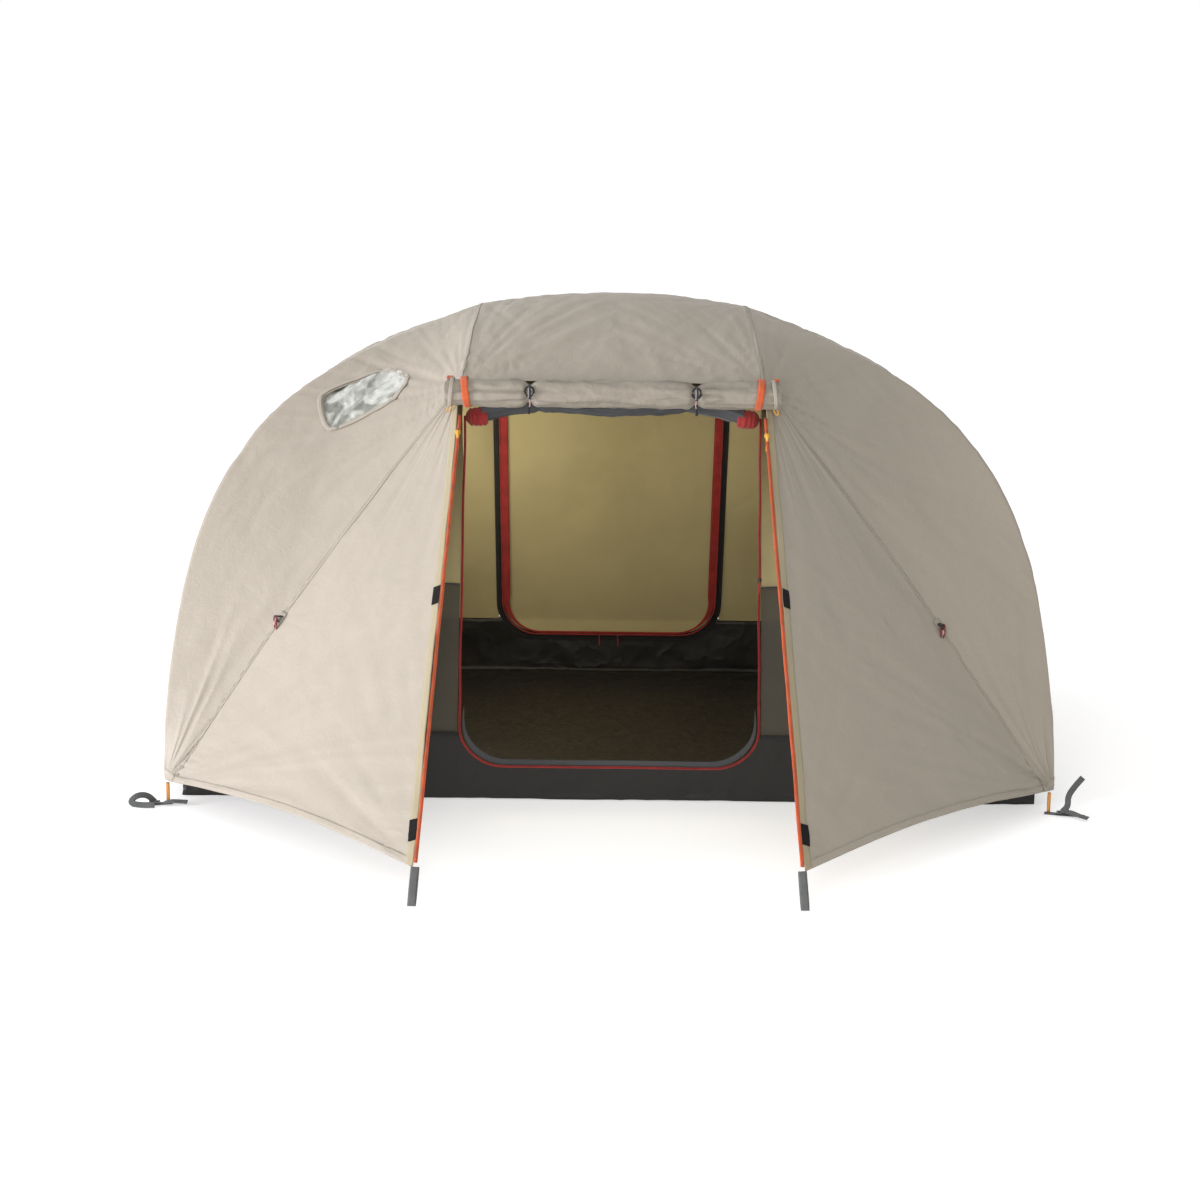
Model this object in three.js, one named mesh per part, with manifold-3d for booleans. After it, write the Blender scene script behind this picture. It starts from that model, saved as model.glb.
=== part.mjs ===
// Dome tent with a fly sheet, porches and an inner tent on a hubbed pole frame.
// Millimetres, +Z up. The origin is on the ground under the middle of the tent, the open
// doorway faces -Y and the tent's length runs along X.

import * as THREE from 'three';
import { mergeVertices } from 'three/addons/utils/BufferGeometryUtils.js';
import Module from 'manifold-3d';

const wasm = await Module();
wasm.setup();

// ---------------------------------------------------------------- driving dimensions

const FLOOR_LENGTH = 2200;
const FLOOR_DEPTH = 1370;
const TUB_HEIGHT = 172;
const FRONT_SILL = 89;
const REAR_SILL = 118;
const FABRIC = 1;
const GAP = 0.4;

const FOOT = new THREE.Vector3(1121, 754, 0);
const HUB = new THREE.Vector3(370, 0, 1198);
const RIDGE_RISE = 36;
const POLE_RADIUS = 4.5;
const SHOULDER = { across: 0.6645, along: 0.3, height: 0.8503 };
const ELBOW = { across: 1.0437, along: 0.6, height: 0.7683 };

const SKIN_OVER_POLE = 12;
const SKIN_OVER_HUB = 25;
const BROW = new THREE.Vector3(392, 455, 1045);
const PEG_CORNER = new THREE.Vector3(429, 1450, 86);
const PEG_GROUND = new THREE.Vector3(434, 1494, 0);
const FLY_HEM = 60;
const SEAM_BOW = 22;
const HEM_BOW = 26;
const GUY_AT = 0.61;
const SEAM_GAP = 3;
const SHEET_CENTRE = new THREE.Vector3(0, 0, 250);

const INNER_HUB = new THREE.Vector3(355, 0, 1142);
const INNER_BROW = new THREE.Vector3(382, 425, 992);
const FRONT_DOOR_HALF = 384;
const REAR_DOOR_HALF = 350;
const DOOR_CORNER = 110;

const ROLL_RADIUS = 36;
const ROLL_HALF = 426;
const ROLL_CENTRE = new THREE.Vector3(0, -531, 1034);
const INNER_ROLL_RADIUS = 24;
const INNER_ROLL_CENTRE = new THREE.Vector3(0, -466, 996);
const INNER_ROLL_DROP = 30;
const TOGGLE_X = 212;
const STRAP_X = 366;

const WEBBING_WIDTH = 20;
const WEBBING = 2;
const STRAP_REACH = 92;
const LOOP_HALF = 7;
const BUCKLE_REACH = 34;
const STRAP_HEADING = THREE.MathUtils.degToRad(16);
const TIP_HEIGHT = 56;

// ---------------------------------------------------------------- materials

const COLOURS = {
  fly: [0xcfc5b8, 0.62, 0],
  clear: [0xc9cdc6, 0.15, 0],
  inner: [0xb9ae86, 0.75, 0],
  mesh: [0x4d4b41, 0.9, 0],
  tub: [0x26211c, 0.55, 0],
  rolledDoor: [0x55575a, 0.7, 0],
  pole: [0xc47a3a, 0.32, 0.8],
  hub: [0x2a2a2c, 0.5, 0],
  webbing: [0x5c5e5e, 0.8, 0],
  buckle: [0x1c1c1e, 0.45, 0],
  orange: [0xde5a2d, 0.6, 0],
  red: [0xc0342d, 0.6, 0],
  pull: [0xe0a93c, 0.6, 0],
};

function material(name) {
  const [color, roughness, metalness] = COLOURS[name];
  return new THREE.MeshStandardMaterial({ color, roughness, metalness });
}

const tent = new THREE.Group();

function addPart(name, geometry, finish) {
  const mesh = new THREE.Mesh(geometry, material(finish));
  mesh.name = name;
  tent.add(mesh);
  return mesh;
}

// ---------------------------------------------------------------- curves and sheets

const lerp = (a, b, t) => new THREE.Vector3().lerpVectors(a, b, t);

// A copy of a front-right point in the quarter of the tent given by the two signs.
const place = (point, sideX, sideY) => new THREE.Vector3(point.x * sideX, point.y * sideY, point.z);

function spread(from, to, count) {
  return Array.from({ length: count + 1 }, (_, i) => from + ((to - from) * i) / count);
}

// A bent pole's line from its top (0) to its base (1): it bows out along the tent's length
// before it comes forward to its foot.
function arch(top, base, t) {
  const bend = (at) => new THREE.Vector3(
    top.x + (base.x - top.x) * at.across,
    top.y + (base.y - top.y) * at.along,
    base.z + (top.z - base.z) * at.height,
  );
  const curve = new THREE.CubicBezierCurve3(top, bend(SHOULDER), bend(ELBOW), base);
  return curve.getPoint(THREE.MathUtils.clamp(t, 0, 1));
}

// The place along an arch where it is at the given height.
function archEnd(top, base, height) {
  let [above, below] = [0, 1];
  for (let i = 0; i < 40; i += 1) {
    const middle = (above + below) / 2;
    if (arch(top, base, middle).z > height) above = middle;
    else below = middle;
  }
  return above;
}

// A sheet of even thickness under the surface pointAt(u, v), over the cells that keep() accepts.
function sheet(pointAt, us, vs, keep = () => true, thickness = FABRIC) {
  const columns = us.length;
  const rows = vs.length;
  const outer = vs.flatMap((v) => us.map((u) => pointAt(u, v)));
  const at = (column, row) => row * columns + column;
  const middle = at(columns >> 1, rows >> 1);
  const across = outer[middle + 1].clone().sub(outer[middle]);
  const down = outer[middle - columns].clone().sub(outer[middle]).negate();
  const facesOut = across.cross(down).dot(outer[middle].clone().sub(SHEET_CENTRE)) > 0;
  const kept = (column, row) => column >= 0 && row >= 0 && column < columns - 1 && row < rows - 1
    && keep((us[column] + us[column + 1]) / 2, (vs[row] + vs[row + 1]) / 2);
  const face = (a, b, c, d) => (facesOut ? [a, b, c, a, c, d] : [a, c, b, a, d, c]);
  const top = [];
  const rest = [];
  const under = columns * rows;
  for (let row = 0; row < rows - 1; row += 1) {
    for (let column = 0; column < columns - 1; column += 1) {
      if (!kept(column, row)) continue;
      const ring = [at(column, row), at(column + 1, row), at(column + 1, row + 1), at(column, row + 1)];
      top.push(...face(...ring));
      rest.push(...face(...[0, 3, 2, 1].map((corner) => ring[corner] + under)));
      const beside = [[column, row - 1], [column + 1, row], [column, row + 1], [column - 1, row]];
      beside.forEach(([c, r], side) => {
        if (kept(c, r)) return;
        const from = ring[side];
        const to = ring[(side + 1) % 4];
        rest.push(...face(from + under, to + under, to, from));
      });
    }
  }
  const cellNormal = (column, row) => {
    if (column < 0 || row < 0 || column > columns - 2 || row > rows - 2) return new THREE.Vector3();
    const rising = outer[at(column + 1, row + 1)].clone().sub(outer[at(column, row)]);
    const falling = outer[at(column, row + 1)].clone().sub(outer[at(column + 1, row)]);
    return rising.cross(falling).normalize();
  };
  const inner = outer.map((point, i) => {
    const column = i % columns;
    const row = Math.floor(i / columns);
    const normal = cellNormal(column, row)
      .add(cellNormal(column - 1, row))
      .add(cellNormal(column, row - 1))
      .add(cellNormal(column - 1, row - 1))
      .normalize();
    return point.clone().addScaledVector(normal, facesOut ? -thickness : thickness);
  });
  const geometry = new THREE.BufferGeometry().setFromPoints([...outer, ...inner]);
  geometry.setIndex([...top, ...rest]);
  return geometry;
}

class PathCurve extends THREE.Curve {
  constructor(pointAt) {
    super();
    this.pointAt = pointAt;
  }

  getPoint(t) {
    return this.pointAt(t);
  }
}

function disc(radius, sides) {
  const shape = new THREE.Shape();
  for (let i = 0; i < sides; i += 1) {
    const angle = (2 * Math.PI * i) / sides;
    const corner = [radius * Math.cos(angle), radius * Math.sin(angle)];
    if (i) shape.lineTo(...corner);
    else shape.moveTo(...corner);
  }
  shape.closePath();
  return shape;
}

function tube(curve, radius, steps, sides = 8) {
  return new THREE.ExtrudeGeometry(disc(radius, sides), {
    extrudePath: curve, steps, bevelEnabled: false,
  });
}

function plate(outline, depth, holes = []) {
  const shape = new THREE.Shape(outline.map(([x, y]) => new THREE.Vector2(x, y)));
  for (const hole of holes) {
    shape.holes.push(new THREE.Path(hole.map(([x, y]) => new THREE.Vector2(x, y))));
  }
  return new THREE.ExtrudeGeometry(shape, { depth, bevelEnabled: false });
}

// ---------------------------------------------------------------- solids cut from each other

function toSolid(geometry) {
  const bare = geometry.clone();
  bare.deleteAttribute('normal');
  bare.deleteAttribute('uv');
  const merged = mergeVertices(bare, 1e-3);
  const mesh = new wasm.Mesh({
    numProp: 3,
    vertProperties: new Float32Array(merged.attributes.position.array),
    triVerts: new Uint32Array(merged.index.array),
  });
  return new wasm.Manifold(mesh);
}

function fromSolid(solid) {
  const mesh = solid.getMesh();
  const geometry = new THREE.BufferGeometry();
  geometry.setAttribute('position', new THREE.BufferAttribute(mesh.vertProperties, 3));
  geometry.setIndex(new THREE.BufferAttribute(mesh.triVerts, 1));
  return geometry;
}

function block(width, depth, height, x, y, z) {
  return new THREE.BoxGeometry(width, depth, height).translate(x, y, z);
}

// An upright doorway outline, square at the top and round at its two lower corners.
function doorway(half, sill, top) {
  const shape = new THREE.Shape();
  shape.moveTo(half, top);
  shape.lineTo(-half, top);
  shape.lineTo(-half, sill + DOOR_CORNER);
  shape.absarc(-half + DOOR_CORNER, sill + DOOR_CORNER, DOOR_CORNER, Math.PI, 1.5 * Math.PI);
  shape.absarc(half - DOOR_CORNER, sill + DOOR_CORNER, DOOR_CORNER, 1.5 * Math.PI, 2 * Math.PI);
  shape.closePath();
  return shape;
}

function doorCutter(half, sill, y) {
  const cutter = new THREE.ExtrudeGeometry(doorway(half, sill, TUB_HEIGHT + 200), {
    depth: 40, bevelEnabled: false, curveSegments: 6,
  });
  return cutter.rotateX(Math.PI / 2).translate(0, y + 20, 0);
}

function tubFloor() {
  const wall = 2 * FABRIC;
  const outside = toSolid(block(FLOOR_LENGTH, FLOOR_DEPTH, TUB_HEIGHT, 0, 0, TUB_HEIGHT / 2));
  const inside = toSolid(
    block(FLOOR_LENGTH - wall, FLOOR_DEPTH - wall, TUB_HEIGHT, 0, 0, TUB_HEIGHT / 2 + FABRIC),
  );
  const front = toSolid(doorCutter(FRONT_DOOR_HALF, FRONT_SILL, -FLOOR_DEPTH / 2));
  const rear = toSolid(doorCutter(REAR_DOOR_HALF + GAP, REAR_SILL, FLOOR_DEPTH / 2));
  return fromSolid(outside.subtract(inside).subtract(front).subtract(rear));
}

// ---------------------------------------------------------------- fly sheet

const SKIN_HUB = new THREE.Vector3(HUB.x, 0, HUB.z + SKIN_OVER_HUB);
const outwards = new THREE.Vector3(FOOT.x - HUB.x, FOOT.y, 0).normalize();
const SKIN_FOOT = FOOT.clone().addScaledVector(outwards, SKIN_OVER_POLE);
const LEG_END = archEnd(SKIN_HUB, SKIN_FOOT, FLY_HEM);
const HEM_CORNER = arch(SKIN_HUB, SKIN_FOOT, LEG_END);
const SEAM_FOOT = lerp(HEM_CORNER, PEG_CORNER, 0.035);

// The skin over a leg pole, from the hub (0) to the hem (1).
const legSkin = (t) => arch(SKIN_HUB, SKIN_FOOT, Math.max(t, 0) * LEG_END);

// The sewn seam between the side panel and the flap, from the door corner (0) to the hem (1).
function seamLine(t) {
  const point = lerp(BROW, SEAM_FOOT, t);
  const bow = SEAM_BOW * Math.sin(Math.PI * THREE.MathUtils.clamp(t, 0, 1));
  return point.add(new THREE.Vector3(0.55, 0.35, 0.75).multiplyScalar(bow));
}

// The brow line from the front door corner (-1) over the hub (0) to the rear one (1).
function browLine(t) {
  const x = HUB.x + (BROW.x - HUB.x) * t ** 2;
  const z = SKIN_HUB.z - (SKIN_HUB.z - BROW.z) * Math.abs(t) ** 1.9;
  return new THREE.Vector3(x, BROW.y * t, z);
}

// The side panel from its front seam (u = 0) over both legs to its rear seam (u = 1). Its top
// edge follows the brow line.
const LEG_U = 0.36;
function sidePanel(u, v) {
  const mirrored = u > 0.5;
  const across = mirrored ? 1 - u : u;
  const leg = legSkin(v);
  let point;
  if (across < LEG_U) {
    const share = across / LEG_U;
    const fullness = browLine(1 - share).sub(lerp(BROW, SKIN_HUB, share));
    point = lerp(seamLine(v), leg, share).addScaledVector(fullness, (1 - v) ** 3);
  } else {
    const share = (across - LEG_U) / (0.5 - LEG_U);
    const slack = 14 * Math.sin(Math.PI * v) * (1 - (1 - share) ** 2);
    const lift = 55 * v ** 8 * (1 - (1 - share) ** 2);
    point = new THREE.Vector3(leg.x - slack, leg.y * (1 - share), leg.z + lift);
  }
  if (mirrored) point.y *= -1;
  return point;
}

// A front flap from the side seam (u = 0) to the door edge (u = 1).
function flapPanel(u, v) {
  const point = lerp(seamLine(v), lerp(BROW, PEG_CORNER, v), u);
  point.z += HEM_BOW * Math.sin(Math.PI * THREE.MathUtils.clamp(u, 0, 1)) * v ** 4;
  return point;
}

function roofPanel(u, v) {
  const edge = browLine(2 * v - 1);
  const across = 2 * u - 1;
  const crown = 10 + (RIDGE_RISE - 10) * Math.cos((Math.PI / 2) * (2 * v - 1)) ** 2;
  return new THREE.Vector3(edge.x * across, edge.y, edge.z + crown * (1 - across ** 2));
}

function rearDoorPanel(u, v) {
  const edge = lerp(BROW, PEG_CORNER, v);
  const across = 2 * u - 1;
  const rise = (1 - across ** 2) * (10 * (1 - v) + HEM_BOW * v ** 4);
  return new THREE.Vector3(edge.x * across, edge.y, edge.z + rise);
}

const mirror = (surface, sideX, sideY) => (u, v) => place(surface(u, v), sideX, sideY);

const WINDOW = { u: [0.19, 0.275], v: [0.165, 0.33] };
const inWindow = (u, v) => u > WINDOW.u[0] && u < WINDOW.u[1] && v > WINDOW.v[0] && v < WINDOW.v[1];

function flySides() {
  const half = [0.004, 0.1, ...spread(...WINDOW.u, 2), 0.32, LEG_U, 0.39, 0.5];
  const full = [...half, ...half.slice(0, -1).reverse().map((u) => 1 - u)];
  const vs = [0.006, 0.05, 0.1, ...spread(...WINDOW.v, 3), ...spread(0.38, 1, 13)];
  for (const [name, sideX] of [['left', -1], ['right', 1]]) {
    const keep = sideX < 0 ? (u, v) => !inWindow(u, v) : () => true;
    addPart(`fly_${name}_side`, sheet(mirror(sidePanel, sideX, -1), full, vs, keep), 'fly');
  }
  const inset = 0.0008;
  const us2 = spread(WINDOW.u[0] + inset, WINDOW.u[1] - inset, 2);
  const vs2 = spread(WINDOW.v[0] + inset, WINDOW.v[1] - inset, 2);
  addPart('fly_window', sheet(mirror(sidePanel, -1, -1), us2, vs2, () => true, 1), 'clear');
}

function flyFlaps() {
  const vs = [0.02, ...spread(0.1, 1, 7)];
  for (const [end, sideY] of [['front', -1], ['rear', 1]]) {
    for (const [name, sideX] of [['left', -1], ['right', 1]]) {
      const surface = (u, v) => {
        const width = seamLine(v).distanceTo(lerp(BROW, PEG_CORNER, v));
        const from = SEAM_GAP / Math.max(width, SEAM_GAP * 4);
        return place(flapPanel(from + u * (1 - 2 * from), v), sideX, sideY);
      };
      addPart(`${end}_flap_${name}`, sheet(surface, spread(0, 1, 5), vs), 'fly');
    }
  }
}

function flyRoofAndRearDoor() {
  addPart('fly_roof', sheet(roofPanel, spread(0.004, 0.996, 8), spread(0.003, 0.997, 12)), 'fly');
  addPart(
    'rear_fly_door',
    sheet(rearDoorPanel, spread(0.008, 0.992, 6), spread(0.012, 0.996, 7)),
    'fly',
  );
}

// ---------------------------------------------------------------- inner tent

const TUB_CORNER = new THREE.Vector3(FLOOR_LENGTH / 2 - 2, FLOOR_DEPTH / 2 - 2, TUB_HEIGHT + 2);
const innerLeg = (t) => arch(INNER_HUB, TUB_CORNER, t);
const jamb = (half) => (t) => lerp(
  new THREE.Vector3(half + 5, INNER_BROW.y, INNER_BROW.z),
  new THREE.Vector3(half + 5, TUB_CORNER.y, TUB_CORNER.z),
  t,
);

// The wall between a door jamb (u = 0) and the corner of the inner tent (u = 1).
const doorWall = (half) => (u, v) => lerp(jamb(half)(v), innerLeg(v), u);

function innerEnd(u, v) {
  const leg = innerLeg(v);
  return new THREE.Vector3(leg.x, leg.y * (1 - 2 * u), leg.z);
}

function innerRoof(u, v) {
  const along = 2 * v - 1;
  const half = INNER_HUB.x + (INNER_BROW.x - INNER_HUB.x) * along ** 2;
  const z = INNER_HUB.z - (INNER_HUB.z - INNER_BROW.z) * Math.abs(along) ** 1.9;
  const across = 2 * u - 1;
  const crown = 6 + 22 * Math.cos((Math.PI / 2) * along) ** 2;
  return new THREE.Vector3(half * across, INNER_BROW.y * along, z + crown * (1 - across ** 2));
}

// The plane of a door: leaning above the tub and upright in front of it.
function doorPlaneY(z) {
  const share = THREE.MathUtils.clamp((INNER_BROW.z - z) / (INNER_BROW.z - TUB_HEIGHT), 0, 1);
  return INNER_BROW.y + (FLOOR_DEPTH / 2 - INNER_BROW.y) * share;
}

function innerWalls() {
  const across = spread(0.006, 0.994, 4);
  const down = [0.012, 0.06, ...spread(0.15, 1, 7)];
  for (const [name, sideX] of [['left', -1], ['right', 1]]) {
    const front = mirror(doorWall(FRONT_DOOR_HALF), sideX, -1);
    const rear = mirror(doorWall(REAR_DOOR_HALF), sideX, 1);
    addPart(`front_wall_${name}`, sheet(front, across, down), 'mesh');
    addPart(`rear_wall_${name}`, sheet(rear, across, down), 'inner');
    const end = mirror(innerEnd, sideX, 1);
    addPart(`inner_${name}_end`, sheet(end, spread(0.004, 0.996, 3), down), 'inner');
  }
  addPart('inner_roof', sheet(innerRoof, spread(0.006, 0.994, 6), spread(0.006, 0.994, 8)), 'inner');
}

const REAR_DOOR_TOP = INNER_BROW.z - 12;
const REAR_DOOR_INSET = 6;

// The closed rear door: a leaning sheet with round lower corners.
function rearInnerDoor() {
  const half = REAR_DOOR_HALF - REAR_DOOR_INSET;
  const sill = REAR_SILL + REAR_DOOR_INSET;
  const surface = (u, v) => {
    const z = REAR_DOOR_TOP - (REAR_DOOR_TOP - sill) * v;
    const below = Math.max(sill + DOOR_CORNER - z, 0);
    const pulledIn = DOOR_CORNER - Math.sqrt(Math.max(DOOR_CORNER ** 2 - below ** 2, 0));
    const y = doorPlaneY(z) - FABRIC - 1;
    return new THREE.Vector3((2 * u - 1) * (half - Math.min(pulledIn, DOOR_CORNER - 1)), y, z);
  };
  const cornerRows = spread(0.875, 0.9995, 5);
  return sheet(surface, spread(0, 1, 4), [...spread(0, 0.75, 4), ...cornerRows]);
}

function doorZipCurve(half, sill, sideY) {
  const outside = FLOOR_DEPTH / 2 + 4;
  const straight = INNER_BROW.z - 25 - sill - DOOR_CORNER;
  const quarter = (Math.PI / 2) * DOOR_CORNER;
  const bottom = half - DOOR_CORNER;
  const total = straight + quarter + bottom;
  const halfPath = (distance) => {
    let x = half;
    let z = sill + DOOR_CORNER + straight - distance;
    if (distance > straight) {
      const angle = Math.min((distance - straight) / DOOR_CORNER, Math.PI / 2);
      x = half - DOOR_CORNER * (1 - Math.cos(angle));
      z = sill + DOOR_CORNER * (1 - Math.sin(angle));
    }
    if (distance > straight + quarter) x = bottom - (distance - straight - quarter);
    const y = Math.min(doorPlaneY(z) + 5, outside);
    return [x, y * sideY, z];
  };
  return new PathCurve((t) => {
    const distance = t * 2 * total;
    if (distance <= total) return new THREE.Vector3(...halfPath(distance));
    const [x, y, z] = halfPath(2 * total - distance);
    return new THREE.Vector3(-x, y, z);
  });
}

function sliderBody(width, height, depth) {
  const body = block(width, depth, height, 0, 0, 0);
  const tongue = block(width * 0.45, depth * 0.5, height * 1.6, 0, -depth * 0.25, -height * 1.1);
  return fromSolid(toSolid(body).add(toSolid(tongue)));
}

function innerDoorParts() {
  addPart('rear_inner_door', rearInnerDoor(), 'inner');
  const zips = [
    ['front_inner_zip', FRONT_DOOR_HALF, FRONT_SILL, -1],
    ['rear_inner_zip', REAR_DOOR_HALF, REAR_SILL, 1],
  ];
  for (const [name, half, sill, sideY] of zips) {
    addPart(name, tube(doorZipCurve(half, sill, sideY), 3, 60, 6), 'red');
  }
  const inside = FLOOR_DEPTH / 2 - 9;
  for (const [name, x] of [['left', -30], ['right', 30]]) {
    const slider = addPart(`rear_inner_slider_${name}`, sliderBody(12, 14, 7), 'red');
    slider.position.set(x, inside, REAR_SILL + 12);
  }
  const slider = addPart('front_inner_slider', sliderBody(12, 16, 7), 'red');
  slider.position.set(FRONT_DOOR_HALF, -doorPlaneY(560) - 18, 560);
  const roll = new PathCurve((t) => {
    const across = 2 * t - 1;
    const drop = INNER_ROLL_DROP * Math.abs(across) ** 3;
    return INNER_ROLL_CENTRE.clone().add(new THREE.Vector3(across * 350, 0, -drop));
  });
  addPart('inner_door_roll', tube(roll, INNER_ROLL_RADIUS, 12, 12), 'rolledDoor');
}

// ---------------------------------------------------------------- pole frame

const STUB = 26;

const legPole = (t) => arch(HUB, FOOT, t);

function legRange() {
  const start = 0.02;
  const end = archEnd(HUB, FOOT, TIP_HEIGHT + GAP);
  return [start, end];
}

function hubGeometry(side) {
  const boss = new THREE.CylinderGeometry(20, 20, 15, 20).rotateX(Math.PI / 2);
  boss.translate(0, 0, -0.5);
  const ridgeStub = new THREE.CylinderGeometry(7, 7, STUB, 12).rotateZ(Math.PI / 2);
  ridgeStub.translate(-side * (18 + STUB / 2), 0, 2.4);
  let solid = toSolid(boss).add(toSolid(ridgeStub));
  for (const sideY of [-1, 1]) {
    const start = legPole(legRange()[0]).sub(HUB);
    start.x *= side;
    start.y *= sideY;
    const stub = new THREE.CylinderGeometry(7, 7, start.length() - 4, 12);
    const aim = new THREE.Quaternion().setFromUnitVectors(
      new THREE.Vector3(0, 1, 0),
      start.clone().normalize(),
    );
    const half = start.clone().multiplyScalar(0.5 - 2.5 / start.length());
    stub.applyQuaternion(aim).translate(half.x, half.y, half.z);
    solid = solid.add(toSolid(stub));
  }
  return fromSolid(solid);
}

function poleFrame() {
  for (const [name, side] of [['left', -1], ['right', 1]]) {
    const hub = addPart(`${name}_hub`, hubGeometry(side), 'hub');
    hub.position.set(HUB.x * side, 0, HUB.z);
    const brow = new PathCurve((t) => {
      const along = 2 * t - 1;
      const line = browLine(along * 0.985);
      return new THREE.Vector3(line.x * side, line.y, line.z - 9 + 1.5);
    });
    addPart(`${name}_brow_pole`, tube(brow, POLE_RADIUS * 0.8, 16), 'pole');
  }
  const reach = HUB.x - 18 - STUB - 2 * GAP;
  const ridge = new PathCurve((t) => {
    const across = 2 * t - 1;
    return new THREE.Vector3(reach * across, 0, HUB.z + 3.2 + RIDGE_RISE * 0.5 * (1 - across ** 2));
  });
  addPart('ridge_pole', tube(ridge, POLE_RADIUS, 10), 'pole');
  for (const [end, sideY] of [['front', -1], ['rear', 1]]) {
    for (const [name, sideX] of [['left', -1], ['right', 1]]) {
      const [from, to] = legRange();
      const leg = new PathCurve((t) => place(legPole(from + (to - from) * t), sideX, sideY));
      addPart(`${end}_leg_${name}`, tube(leg, POLE_RADIUS, 22), 'pole');
      const shank = TIP_HEIGHT - 3;
      const profile = [[0, 0], [3, 0], [POLE_RADIUS, 6], [POLE_RADIUS, shank], [0, shank]];
      const tip = new THREE.LatheGeometry(profile.map(([r, z]) => new THREE.Vector2(r, z)), 10);
      tip.rotateX(Math.PI / 2);
      const foot = place(legPole(1), sideX, sideY);
      const piece = addPart(`${end}_pole_tip_${name}`, tip, 'pole');
      piece.position.set(foot.x, foot.y, WEBBING + GAP);
    }
  }
}

// ---------------------------------------------------------------- straps, buckles and loops

function cornerStrap() {
  const half = WEBBING_WIDTH / 2;
  const along = [Math.cos(STRAP_HEADING), Math.sin(STRAP_HEADING)];
  const across = [-along[1], along[0]];
  const at = (forward, sideways) => [
    FOOT.x + along[0] * forward + across[0] * sideways,
    FOOT.y + along[1] * forward + across[1] * sideways,
  ];
  const inner = [FLOOR_LENGTH / 2 - 14, FLOOR_DEPTH / 2 + GAP];
  const outer = [FLOOR_LENGTH / 2 + 6, FLOOR_DEPTH / 2 + GAP];
  const outline = [
    inner, outer, at(4, -half), at(STRAP_REACH, -half), at(STRAP_REACH, half), at(-12, half),
  ];
  const hole = [at(62, -5), at(82, -5), at(82, 5), at(62, 5)];
  return plate(outline, WEBBING, [hole]);
}

function ladderLock() {
  let frame = toSolid(block(28, 26, 4.5, 0, 0, 2.25));
  for (const x of [-6.5, 3.5]) frame = frame.subtract(toSolid(block(5, 19, 10, x, 0, 2.25)));
  return fromSolid(frame);
}

function pegLoop() {
  const length = 96;
  const outline = (inset) => {
    const points = [];
    for (const [end, from] of [[length, -0.5], [0, 0.5]]) {
      for (const turn of spread(from, from + 1, 5)) {
        const radius = LOOP_HALF - inset;
        const centre = end ? length - LOOP_HALF : LOOP_HALF;
        points.push([
          centre + radius * Math.cos(turn * Math.PI),
          radius * Math.sin(turn * Math.PI),
        ]);
      }
    }
    return points;
  };
  return plate(outline(0), WEBBING_WIDTH, [outline(1.6)]);
}

function mirrored(geometry, sideX, sideY) {
  const copy = geometry.clone();
  copy.scale(sideX, sideY, 1);
  if (sideX * sideY > 0) return copy;
  const flat = copy.index ? copy.toNonIndexed() : copy;
  const position = flat.attributes.position;
  for (let i = 0; i < position.count; i += 3) {
    const second = new THREE.Vector3().fromBufferAttribute(position, i + 1);
    const third = new THREE.Vector3().fromBufferAttribute(position, i + 2);
    position.setXYZ(i + 1, third.x, third.y, third.z);
    position.setXYZ(i + 2, second.x, second.y, second.z);
  }
  return flat;
}

function groundFittings() {
  for (const [end, sideY] of [['front', -1], ['rear', 1]]) {
    for (const [name, sideX] of [['left', -1], ['right', 1]]) {
      addPart(`${end}_corner_strap_${name}`, mirrored(cornerStrap(), sideX, sideY), 'webbing');
      const buckle = ladderLock().rotateZ(STRAP_HEADING);
      buckle.translate(
        FOOT.x + BUCKLE_REACH * Math.cos(STRAP_HEADING),
        FOOT.y + BUCKLE_REACH * Math.sin(STRAP_HEADING),
        WEBBING + GAP,
      );
      addPart(`${end}_buckle_${name}`, mirrored(buckle, sideX, sideY), 'buckle');
      const drop = PEG_CORNER.z - 2;
      const run = PEG_GROUND.y - PEG_CORNER.y;
      const lean = Math.atan2(drop, run);
      const loop = pegLoop().rotateX(Math.PI / 2).rotateZ(Math.PI / 2);
      loop.translate(WEBBING_WIDTH / 2, 0, 0).rotateX(-lean);
      loop.translate(PEG_CORNER.x - WEBBING_WIDTH / 2 - 5, PEG_CORNER.y + 6, PEG_CORNER.z + 1);
      addPart(`${end}_peg_loop_${name}`, mirrored(loop, sideX, sideY), 'webbing');
    }
  }
}

// ---------------------------------------------------------------- rolled door, zips and trim

function ring(inner, outer, width) {
  const shape = disc(outer, 20);
  shape.holes.push(disc(inner, 20));
  return new THREE.ExtrudeGeometry(shape, { depth: width, bevelEnabled: false })
    .translate(0, 0, -width / 2)
    .rotateY(Math.PI / 2);
}

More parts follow.
